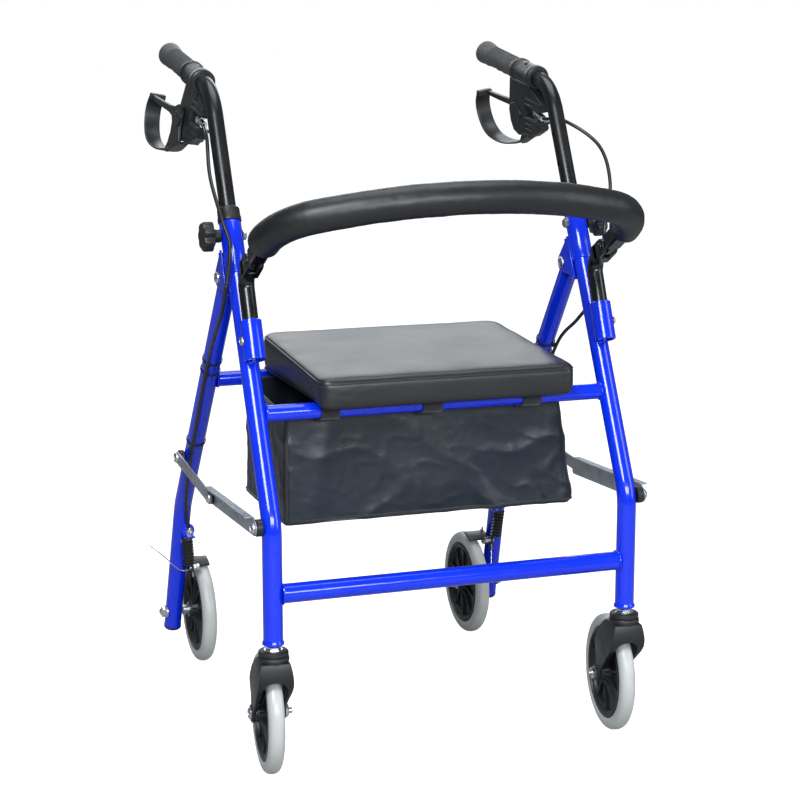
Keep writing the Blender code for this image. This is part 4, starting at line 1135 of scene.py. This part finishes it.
def cable(name, sign, corners, bodies, span, *nodes):
    """A cable that bends between two bodies, within the span."""
    line = tube(name, [on_side(p, sign) for p in flowing(corners)], CABLE_R, SHEATH, 16)
    first, last = [tuple(on_side(p, sign) - MIDDLE) for p in span]
    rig.blend(settle(line), *bodies, start=first, end=last)
    tag(line, *nodes)


for end, sign in ENDS:
    cable(f"brake_cable_upper_{end}", sign, [cable_start, *uppers[end], junction],
          (f"handle_{end}", "front_frame"), (cable_start, junction), f"brake_cable_{end}")
    cable(f"brake_cable_lower_{end}", sign, lower, ("front_frame", "rear_frame"), (junction, tied))

tie = [(0.0131, 0.0016), (0.014, 0.0016), (0.0143, 0.0), (0.014, -0.0016), (0.0131, -0.0016)]
tie_side = Vector((0.6, -0.806 * 0.8, -0.592 * 0.8)).normalized()
tie_half = Vector((0.003, 0.003, 0.003))
for k, z in enumerate((0.508, 0.492, 0.375)):
    pair(revolve(f"zip_tie_{k}_a", tie, rear_point(z), rear_u, SHEATH, 36, loop=True), "rear_frame")
    spot = rear_point(z) + tie_side * 0.0152
    pair(block(f"zip_tie_head_{k}_a", spot - tie_half, spot + tie_half, SHEATH), "rear_frame")

# --- backrest ----------------------------------------------------------------------------------

forward = Vector((0, -math.cos(BACKREST_RISE), math.sin(BACKREST_RISE)))
lift = Vector((0, forward.z, -forward.y))
post_x = HALF_TRACK - 0.0012
hinge = Vector((post_x, BACKREST_HINGE.y, BACKREST_HINGE.z))
post_path = bent_path([socket_low + socket_u * 0.003, (post_x, 0.1167, 0.6424), hinge - forward * 0.014],
                      0.02, 12)
pair(tube("backrest_post_a", post_path, POST_R, GLOSSY, 36), "front_frame", "backrest_post_")
KNUCKLE = framed(hinge, forward, lift)
ear = [(-0.022, -0.011), *arc((0, 0), 0.011, -90, 90, 14), (-0.022, 0.011)]
for label, low, high in (("outer", 0.0047, 0.0112), ("inner", -0.0112, -0.0047)):
    pair(slab(f"backrest_ear_{label}_a", ear, low, high, GLOSSY, KNUCKLE, 0.001, 3), "front_frame")
pair(block("backrest_ear_root_a", (-0.0112, -0.03, -0.011), (0.0112, -0.0128, 0.011), GLOSSY, KNUCKLE,
           0.0012), "front_frame")
for label, sign in (("outer", 1), ("inner", -1)):
    spot = KNUCKLE @ Vector((0.011 * sign, 0, 0))
    pair(head(f"backrest_pin_{label}_a", spot, X_AXIS * sign, 0.0052, 0.0022, GLOSSY), "front_frame")

hoop_bow_r = (post_x - HOOP_CORNER_R * (1 - math.cos(HOOP_CORNER))) / math.cos(HOOP_CORNER)


def hoop_points(start, fine=16):
    """The hoop's centre line from its +X end."""
    flat = [(post_x, start + (HOOP_STRAIGHT - start) * i / 6) for i in range(6)]
    for i in range(fine + 1):
        angle = HOOP_CORNER * i / fine
        flat.append((post_x - HOOP_CORNER_R * (1 - math.cos(angle)),
                     HOOP_STRAIGHT + HOOP_CORNER_R * math.sin(angle)))
    x0, t0 = flat[-1]
    for i in range(1, fine + 1):
        angle = HOOP_CORNER + (math.pi / 2 - HOOP_CORNER) * i / fine
        flat.append((x0 - hoop_bow_r * (math.cos(HOOP_CORNER) - math.cos(angle)),
                     t0 + hoop_bow_r * (math.sin(angle) - math.sin(HOOP_CORNER))))
    flat[-1] = (0.0, flat[-1][1])
    whole = flat + [(-x, t) for x, t in reversed(flat[:-1])]
    return [Vector((x, *BACKREST_HINGE.yz)) + forward * t for x, t in whole]


ride(tube("backrest_hoop", hoop_points(0.016), HOOP_R, GLOSSY, 32), "backrest", "backrest_hoop")
tongue = [*arc((0, 0), 0.0106, 90, 270, 14), (0.024, -0.0098), (0.024, 0.0098)]
pair(slab("backrest_tongue_a", tongue, -0.0043, 0.0043, GLOSSY, KNUCKLE, 0.0008), "backrest")
pair(block("backrest_tongue_root_a", (-0.0108, 0.0136, -0.0108), (0.0108, 0.06, 0.0108), GLOSSY, KNUCKLE,
           0.003), "backrest")
pad_path = hoop_points(PAD_START, 26)
pad_path = [a.lerp(b, k / 3) for a, b in zip(pad_path, pad_path[1:]) for k in range(3)] + [pad_path[-1]]
pad_rings = []
pad_lengths = distances(pad_path)
for length, (spot, side, other) in zip(pad_lengths, frames_along(pad_path, lift)):
    edge = min(length, pad_lengths[-1] - length)
    swell = PAD_R - 0.0016 * max(0.0, 1 - edge / 0.004) ** 2
    ring = []
    for u, v in circle(1, 40):
        out = side * u + other * v
        near = spot + out * 0.02
        ring.append(spot + out * (swell + 0.0006 * noise.noise(near * 30) + 0.0003 * noise.noise(near * 110)))
    pad_rings.append(ring)


def pad_end(spot, inside, ring):
    """The rings that close an end of the pad: its rim drawn in, then sunk towards the hoop."""
    rim = [spot + (p - spot) * 0.45 for p in ring]
    return [p + (inside - spot).normalized() * 0.006 for p in rim], rim


sunk_first, rim_first = pad_end(pad_path[0], pad_path[1], pad_rings[0])
sunk_last, rim_last = pad_end(pad_path[-1], pad_path[-2], pad_rings[-1])
pad = loft("backrest_pad", [sunk_first, rim_first, *pad_rings, rim_last, sunk_last], FOAM, smooth=50)
ride(pad, "backrest", "backrest_pad")

# --- seat cushion ------------------------------------------------------------------------------

SEAT_HALF = 0.1735
SEAT_FRONT = 0.0195
SEAT_BACK = 0.3075
SEAT_LOW = 0.484
SEAT_HIGH = 0.5315
SEAT_RISE = 0.0195  # how much higher its top is at the back than at the front
SEAT_DROP = 0.0105  # how far its front edge is below SEAT_HIGH
SEAT_LIP = 0.0062  # how far the cover hangs over the front rail
SEAT_BULGE = 0.006  # the +X side stands this much further out, as in the photograph


def seat_shape():
    """A rounded box, slightly crowned, that the cloth pass then puffs out."""
    shape = bmesh.new()
    bmesh.ops.create_cube(shape, size=1.0)
    size = Vector((2 * SEAT_HALF - 0.002, SEAT_BACK - SEAT_FRONT - 0.002, SEAT_HIGH - SEAT_LOW - 0.001))
    middle = Vector((0, (SEAT_BACK + SEAT_FRONT) / 2, (SEAT_HIGH + SEAT_LOW) / 2))
    shape.transform(Matrix.Translation(middle) @ Matrix.Diagonal((*size, 1.0)))
    upright = [e for e in shape.edges if abs(e.verts[0].co.z - e.verts[1].co.z) > 0.01]
    bmesh.ops.bevel(shape, geom=upright, offset=0.016, segments=5, affect="EDGES", profile=0.5)
    flat = [e for e in shape.edges if abs(e.verts[0].co.z - e.verts[1].co.z) < 1e-5
            and len(e.link_faces) == 2 and e.calc_face_angle() > 1.0]
    bmesh.ops.bevel(shape, geom=flat, offset=0.005, segments=3, affect="EDGES", profile=0.5)
    return modified(solid("seat_cushion", shape, VINYL), "REMESH", mode="VOXEL", voxel_size=0.005,
                    use_smooth_shade=True)


def puff(obj, pressure, cap, frames=20):
    """Blows the cover up a little with a cloth pass; no point moves further than the cap."""
    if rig.quick():
        return obj
    before = [v.co.copy() for v in obj.data.vertices]
    cloth = obj.modifiers.new("cloth", "CLOTH")
    cloth.settings.quality = 5
    cloth.settings.mass = 0.3
    cloth.settings.use_pressure = True
    cloth.settings.uniform_pressure_force = pressure
    cloth.settings.tension_stiffness = 12
    cloth.settings.compression_stiffness = 12
    cloth.settings.bending_stiffness = 0.6
    cloth.settings.effector_weights.gravity = 0
    cloth.point_cache.frame_start = 1
    cloth.point_cache.frame_end = frames
    for step in range(1, frames + 1):
        bpy.context.scene.frame_set(step)
    applied(obj)
    bpy.context.scene.frame_set(1)
    for vertex, old in zip(obj.data.vertices, before):
        move = vertex.co - old
        if move.length > cap:
            vertex.co = old + move * (cap / move.length)
    return obj


seat = modified(puff(seat_shape(), 4.0, 0.002), "SMOOTH", iterations=9)
fit_low = Vector([min(v.co[k] for v in seat.data.vertices) for k in range(3)])
fit_high = Vector([max(v.co[k] for v in seat.data.vertices) for k in range(3)])
want_low = Vector((-SEAT_HALF, SEAT_FRONT, SEAT_LOW))
want_high = Vector((SEAT_HALF + SEAT_BULGE, SEAT_BACK, SEAT_HIGH))
for vertex in seat.data.vertices:
    share = [(vertex.co[k] - fit_low[k]) / (fit_high[k] - fit_low[k]) for k in range(3)]
    co = Vector([want_low[k] + share[k] * (want_high[k] - want_low[k]) for k in range(3)])
    across = 1 - (co.x / SEAT_HALF) ** 2
    along = (co.y - SEAT_FRONT) / (SEAT_BACK - SEAT_FRONT)
    if co.z > 0.522:
        co.z += 0.0022 * max(0.0, across) * math.sin(math.pi * clamped(along))
    lip = clamped((0.05 - co.y) / 0.022)
    co.z += share[2] * (SEAT_RISE * along - SEAT_DROP) - (1 - share[2]) * SEAT_LIP * lip
    near = max(0.0, 1 - abs(co.x + 0.145) / 0.045) + max(0.0, 1 - abs(co.x - 0.15) / 0.035)
    if co.y < SEAT_FRONT + 0.006 and near > 0:
        fold = math.sin(co.z * 620 + 2.0 * noise.noise(co * 40)) * noise.noise(co * 55 + Vector((3, 1, 2)))
        co.y += 0.0016 * near * fold
    vertex.co = co + vertex.normal * (noise.noise(co * 18) * 0.0002 + noise.noise(co * 60) * 0.00005)
modified(seat, "SUBSURF", levels=1, render_levels=1)
seat.data.shade_smooth()
seat_tree = BVHTree.FromObject(seat, bpy.context.evaluated_depsgraph_get())
ride(seat, "seat", "seat_cushion")


def seat_outline(below, count=220, out=0.0):
    """Points round the cushion's side a little below its top edge, found on its own surface."""
    points = []
    depth = SEAT_BACK - SEAT_FRONT
    for i in range(count):
        a = 2 * math.pi * i / count
        u, v = math.cos(a), math.sin(a)
        r = 1 / max(abs(u) / SEAT_HALF, abs(v) / (0.5 * depth))
        top = SEAT_HIGH - SEAT_DROP + SEAT_RISE * clamped(0.5 + v * r / depth)
        middle = Vector((SEAT_BULGE / 2, (SEAT_FRONT + SEAT_BACK) / 2, top - below))
        aim = Vector((-u, -v, 0))
        hit = seat_tree.ray_cast(middle - aim * (r + 0.05), aim)
        points.append((hit[0] if hit[0] else middle - aim * r) - aim * out)
    return points


def ring_tube(name, points, radius, look, sides=10):
    rings = []
    count = len(points)
    for i, spot in enumerate(points):
        ahead = (points[(i + 1) % count] - points[i - 1]).normalized()
        out = ahead.cross(Z_AXIS).normalized()
        rings.append([spot + out * u * radius + Z_AXIS * v * radius for u, v in circle(1, sides)])
    return loft(name, rings, look, closed=True)


ride(ring_tube("seat_piping", seat_outline(0.0075, 260, -0.0004), 0.0014, SHEATH), "seat")
stitch_line = seat_outline(0.0115, 640, 0.0002)
shape = bmesh.new()
for i in range(0, len(stitch_line), 2):
    a, b = stitch_line[i], stitch_line[(i + 1) % len(stitch_line)]
    middle = (a + b) / 2
    along = (b - a).normalized()
    turn = X_AXIS.rotation_difference(along).to_matrix().to_4x4()
    size = Matrix.Diagonal(((b - a).length * 0.62, 0.0005, 0.0005, 1))
    place = Matrix.Translation(middle) @ turn @ size
    bmesh.ops.create_icosphere(shape, subdivisions=1, radius=1.0, matrix=place)
ride(solid("seat_stitching", shape, THREAD), "seat")

# --- storage bag -------------------------------------------------------------------------------

BAG_LOW = 0.318
BAG_FRONT = 0.085
BAG_BACK = 0.29
BAG_MIDDLE = Vector((0, 0.1885, 0))
BAG_HEM_Z = 0.464  # at the front
BAG_HEM_RISE = 0.014  # from there to the back
BAG_SIDES = 288
BAG_LEVELS = 56
BASE_RINGS = 8  # across the bag's bottom


def bag_top(y):
    """The hem's height: it rises from the front rail towards the back."""
    return BAG_HEM_Z + BAG_HEM_RISE * clamped((y - BAG_FRONT) / (BAG_BACK - BAG_FRONT))


def bag_side(sx, down):
    """How far the bag reaches to the +X or -X side: it hangs straight at -X and spreads at +X."""
    return 0.1835 + 0.0145 * down ** 0.8 if sx > 0 else 0.201 + 0.0015 * down


def bag_ring(down, count=BAG_SIDES, grow=0.0):
    """The bag's outline, a rounded rectangle, at one share of the way down from its hem."""
    right = bag_side(1, down) + grow
    left = bag_side(-1, down) + grow
    front = BAG_FRONT + 0.003 * (1 - down) - grow
    back = BAG_BACK + 0.002 * down + grow
    corner = 0.0055 + grow
    outline = []
    for cx, cy, first in ((right, back, 0), (-left, back, 90), (-left, front, 180), (right, front, 270)):
        for k in range(7):
            a = math.radians(first + 15 * k)
            outline.append(Vector((cx - math.copysign(corner, cx) + corner * math.cos(a),
                                   cy - math.copysign(corner, cy - BAG_MIDDLE.y) + corner * math.sin(a), 0)))
    outline.append(outline[0])
    lengths = distances(outline)
    points = []
    k = 0
    for i in range(count):
        want = lengths[-1] * i / count
        while lengths[k + 1] < want:
            k += 1
        t = (want - lengths[k]) / max(1e-9, lengths[k + 1] - lengths[k])
        spot = outline[k].lerp(outline[k + 1], t)
        top = bag_top(spot.y)
        spot.z = top + (BAG_LOW - top) * down
        points.append(spot)
    return points


def ridge(co, scale, seed):
    """Sharp-edged noise, for creases: near 1 along thin lines."""
    return 1 - abs(noise.noise(co * scale + Vector((seed, seed * 2, 1)))) * 2.4


def crumple(co):
    """Broad hanging folds, slanting creases and small wrinkles of thin cloth."""
    drop = 0.466 - co.z
    down = clamped(drop / 0.145)
    slanted = Vector((co.x * 0.8 + co.z * 0.9, co.y, co.z * 0.5 - co.x * 0.35))
    broad = noise.noise(Vector((co.x * 8, co.y * 8, co.z * 7)))
    crease = max(0.0, ridge(slanted, 13, 3.7)) ** 3
    fine = max(0.0, ridge(slanted, 31, 8.2)) ** 3
    busy = 0.35 + 0.65 * clamped((co.x + 0.05) / 0.18) * down
    hanging = math.exp(-((co.x + 0.14 + 0.2 * drop) / 0.014) ** 2) * (1 - 0.5 * down)
    slack = math.exp(-((co.x + 0.02 - 0.75 * drop) / 0.014) ** 2) * down
    return (0.0056 * broad * (0.25 + down) + 0.0055 * crease * busy + 0.002 * fine * busy
            + 0.003 * hanging + 0.0035 * slack + 0.0004 * noise.noise(co * 95))


bag_rings = [bag_ring(k / BAG_LEVELS) for k in range(BAG_LEVELS + 1)]
for k in range(1, BASE_RINGS + 1):
    shrink = 1 - k / (BASE_RINGS + 0.6)
    bag_rings.append([BAG_MIDDLE + (Vector((p.x, p.y, 0)) - BAG_MIDDLE) * shrink
                      + Z_AXIS * (BAG_LOW - 0.0016 * math.sin(math.pi * (1 - shrink) / 2))
                      for p in bag_ring(1.0)])
bag = loft("storage_bag", bag_rings, NYLON, capped=False, smooth=60)
shape = bmesh.new()
shape.from_mesh(bag.data)
shape.verts.ensure_lookup_table()
shape.faces.new([v for v in shape.verts if v.index >= (BAG_LEVELS + BASE_RINGS) * BAG_SIDES])
bmesh.ops.recalc_face_normals(shape, faces=shape.faces)
shape.normal_update()
for vertex in shape.verts:
    held = min(1.0, (bag_top(vertex.co.y) - vertex.co.z) / 0.03)
    ease = 0.25 + 0.75 * held if vertex.co.z > BAG_LOW + 0.0015 else 0.3
    vertex.co += vertex.normal * crumple(vertex.co) * ease
shape.to_mesh(bag.data)
shape.free()
modified(bag, "SOLIDIFY", thickness=0.0016, offset=-1)
bag.data.shade_smooth()
bag_tree = BVHTree.FromObject(bag, bpy.context.evaluated_depsgraph_get())


def on_bag(origin, aim):
    """Where a line of sight meets the bag, just proud of its cloth."""
    origin = Vector(origin)
    hit = bag_tree.ray_cast(origin, aim)[0]
    return (hit if hit else origin + aim * 0.05) - aim * 0.0004


def hug_bag(points):
    """Pulls a line of points outside the bag on to its cloth."""
    return [on_bag(p, (Vector((*BAG_MIDDLE.xy, p.z)) - p).normalized()) for p in points]


hem_line = hug_bag([p - Z_AXIS * 0.003 for p in bag_ring(0.0, 220, 0.03)])
soft = [ring_tube("bag_hem", hem_line, 0.0019, WEBBING)]
for label, sx in ENDS:
    path = []
    for k in range(34):
        down = 0.02 + 0.95 * k / 33
        z = BAG_HEM_Z + (BAG_LOW - BAG_HEM_Z) * down
        outside = (sx * (bag_side(sx, down) + 0.028), BAG_FRONT - 0.028, z)
        path.append(on_bag(outside, Vector((-sx, 1, 0)).normalized()))
    soft.append(tube(f"bag_piping_{label}", path, 0.0017, WEBBING, 10))
bottom_line = hug_bag([p + Z_AXIS * 0.0045 for p in bag_ring(1.0, 240, 0.03)])
soft.append(ring_tube("bag_bottom_piping", bottom_line, 0.0016, WEBBING))


def strap_rings(start, end):
    """A webbing loop from the bag's front hem up over the seat rail and back down."""
    path = [(0.0852, 0.454), (0.085, 0.46)]
    for k in range(29, -1, -1):
        a = math.radians(-118 + 262 * k / 29)
        path.append((RAIL.y - 0.0124 * math.cos(a), RAIL.z + 0.0124 * math.sin(a)))
    path += [(0.0826, 0.46), (0.0838, 0.454)]
    points = [Vector(((start + end) / 2, y, z)) for y, z in path]
    wide = (end - start) / 2
    rings = []
    for i, middle in enumerate(points):
        normal = X_AXIS.cross(ahead_at(points, i).normalized())
        wave = 0.0004 * noise.noise(middle * 80)
        rings.append([at_x(middle, wide * power(u, 0.3)) + normal * (0.0008 * power(v, 0.6) + wave)
                      for u, v in circle(1, 16)])
    return rings


loops = [loft(f"bag_loop_{k}", strap_rings(*span), WEBBING, smooth=50)
         for k, span in enumerate(((-0.162, -0.137), (-0.024, 0.004), (0.117, 0.1435)))]
tag(bag, "storage_bag")
for piece in [*soft, *loops]:
    tag(piece)
for piece in [bag, *soft, *loops]:
    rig.ride(settle(piece), "front_frame")
    if piece not in loops:
        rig.squash(piece, "frame_fold", axis=(0, 1, 0), anchor=(0, 0.088 - MIDDLE.y, 0.39), keep=0.45)

# --- folding braces ----------------------------------------------------------------------------


def link_frame(start, end):
    """The place of a link that runs from one pivot to the next, and its length."""
    span = end - start
    along = span.normalized()
    return framed(start, along, Vector((0, -along.z, along.y))), span.length


place, reach = link_frame(BRACE_FRONT, BRACE_MID)
web = [*arc((0, 0), 0.01, 100, 260, 14), (reach + 0.009, -0.01), (reach + 0.012, -0.007),
       (reach + 0.012, 0.0132), (0.003, 0.0132)]
pair(slab("brace_front_a", web, *FRONT_LINK_X, BRACE, place, 0.0005), "brace_front_", "brace_front_")
flange = [(0.006, 0.0116), (reach + 0.012, 0.0116), (reach + 0.012, 0.0138), (0.006, 0.0138)]
pair(slab("brace_flange_a", flange, 0.2672, 0.278, BRACE, place, 0.0006), "brace_front_")
brace_spacer("brace_front_spacer_a", BRACE_FRONT, 0.258, FRONT_LINK_X[0], "brace_front_")
pair(head("brace_front_bolt_a", at_x(BRACE_FRONT, FRONT_LINK_X[1]), X_AXIS, 0.0072, 0.0042, ZINC),
     "brace_front_")
axle_rod("brace_mid_washer_a", BRACE_MID, FRONT_LINK_X[1], 0.2716, 0.0086, PLASTIC, "brace_front_")
pair(head("brace_mid_rivet_a", at_x(BRACE_MID, 0.2744), X_AXIS, 0.0076, 0.0036, ZINC, recess=0.9),
     "brace_front_")
place, reach = link_frame(BRACE_MID, BRACE_REAR)
strip = [*arc((0, 0), 0.0088, 90, 270, 14), *arc((reach, 0), 0.0088, -90, 90, 14)]
pair(slab("brace_rear_a", strip, *REAR_STRIP_X, BRACE, place, 0.0005), "brace_rear_", "brace_rear_")
pair(head("brace_rear_bolt_a", at_x(BRACE_REAR, REAR_STRIP_X[1]), X_AXIS, 0.0076, 0.0042, ZINC),
     "brace_rear_")

# --- seat board --------------------------------------------------------------------------------

board = block("seat_board", (-0.17, 0.028, SEAT_Z), (0.17, 0.303, SEAT_Z + 0.004), PLASTIC)
ride(board, "seat", "seat_board")
saddle = [(RAIL.y + RAIL_R + 0.0004, RAIL.z), (RAIL.y + 0.0145, RAIL.z), (RAIL.y + 0.0145, SEAT_Z + 0.002),
          (RAIL.y + 0.006, SEAT_Z + 0.002), (RAIL.y + 0.0078, RAIL.z + 0.0082)]
for k, x in enumerate((-0.08, 0.08)):
    ride(slab(f"seat_saddle_{k}", saddle, x - 0.012, x + 0.012, PLASTIC, round_off=0.0004), "seat")

# --- studio ------------------------------------------------------------------------------------

floor_mesh = bmesh.new()
bmesh.ops.create_grid(floor_mesh, x_segments=1, y_segments=1, size=12)
floor_look = Look("studio_floor", (0.35, 0.35, 0.35), 0.7)
floor_look.relief("noise", 3, 0.02, 0.001)
# The floor glows for the camera only, so that it is white like the photograph's background.
glow = floor_look.node("ShaderNodeMath", operation="MULTIPLY")
glow.inputs[1].default_value = 1.0
floor_look.link(floor_look.node("ShaderNodeLightPath").outputs["Is Camera Ray"], glow.inputs[0])
floor_look.link(glow.outputs[0], floor_look.shader.inputs["Emission Strength"])
floor_look.shader.inputs["Emission Color"].default_value = (1, 1, 1, 1)
floor_obj = solid("studio_floor", floor_mesh, floor_look)
floor_obj.location.z = -0.0005
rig.stage(floor_obj)

world = bpy.data.worlds.new("studio")
bpy.context.scene.world = world
world.use_nodes = True
tree = world.node_tree
surround = tree.nodes["Background"]
surround.inputs["Strength"].default_value = 0.19
backdrop = tree.nodes.new("ShaderNodeBackground")
surround.inputs["Color"].default_value = (0.88, 0.95, 1, 1)
backdrop.inputs["Color"].default_value = (1, 1, 1, 1)
seen = tree.nodes.new("ShaderNodeLightPath")
mix = tree.nodes.new("ShaderNodeMixShader")
tree.links.new(seen.outputs["Is Camera Ray"], mix.inputs["Fac"])
tree.links.new(surround.outputs[0], mix.inputs[1])
tree.links.new(backdrop.outputs[0], mix.inputs[2])
tree.links.new(mix.outputs[0], tree.nodes["World Output"].inputs["Surface"])
bpy.context.scene.view_settings.view_transform = "Standard"


def softbox(name, spot, aim, size, power):
    light = bpy.data.lights.new(name, "AREA")
    light.shape = "RECTANGLE"
    light.size, light.size_y = size
    light.energy = power
    light.color = (0.92, 0.97, 1.0)
    obj = added(name, light)
    obj.location = spot
    obj.rotation_euler = (Vector(aim) - Vector(spot)).to_track_quat("-Z", "Y").to_euler()


softbox("key_light", (-1.5, -2.2, 2.6), (0, 0, 0.4), (1.2, 1.2), 92)
softbox("fill_light", (2.4, -1.8, 1.4), (0, 0, 0.4), (1.0, 2.0), 26)
softbox("front_light", (-0.2, -3.4, 1.45), (0, 0, 0.8), (2.4, 0.7), 84)
softbox("back_light", (0.4, 2.6, 1.8), (0, 0, 0.5), (2.4, 1.2), 26)
softbox("top_light", (0.2, 0.3, 3.0), (0, 0, 0.4), (1.8, 1.8), 34)

camera_data = bpy.data.cameras.new("camera")
camera_data.lens = 88.22
camera_data.sensor_width = 36
camera = added("camera", camera_data)
camera.location = Vector((-0.873, -2.2983, 0.9768)) - MIDDLE
aim = Vector((-0.0749, 0.0, 0.4928)) - MIDDLE - camera.location
camera.rotation_euler = aim.to_track_quat("-Z", "Y").to_euler()
bpy.context.scene.camera = camera

with open("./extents.json", "w") as report:
    json.dump([[list(map(float, corner)) for corner in CAD_BOX],
               [list(map(float, corner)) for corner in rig.bounds()]], report)
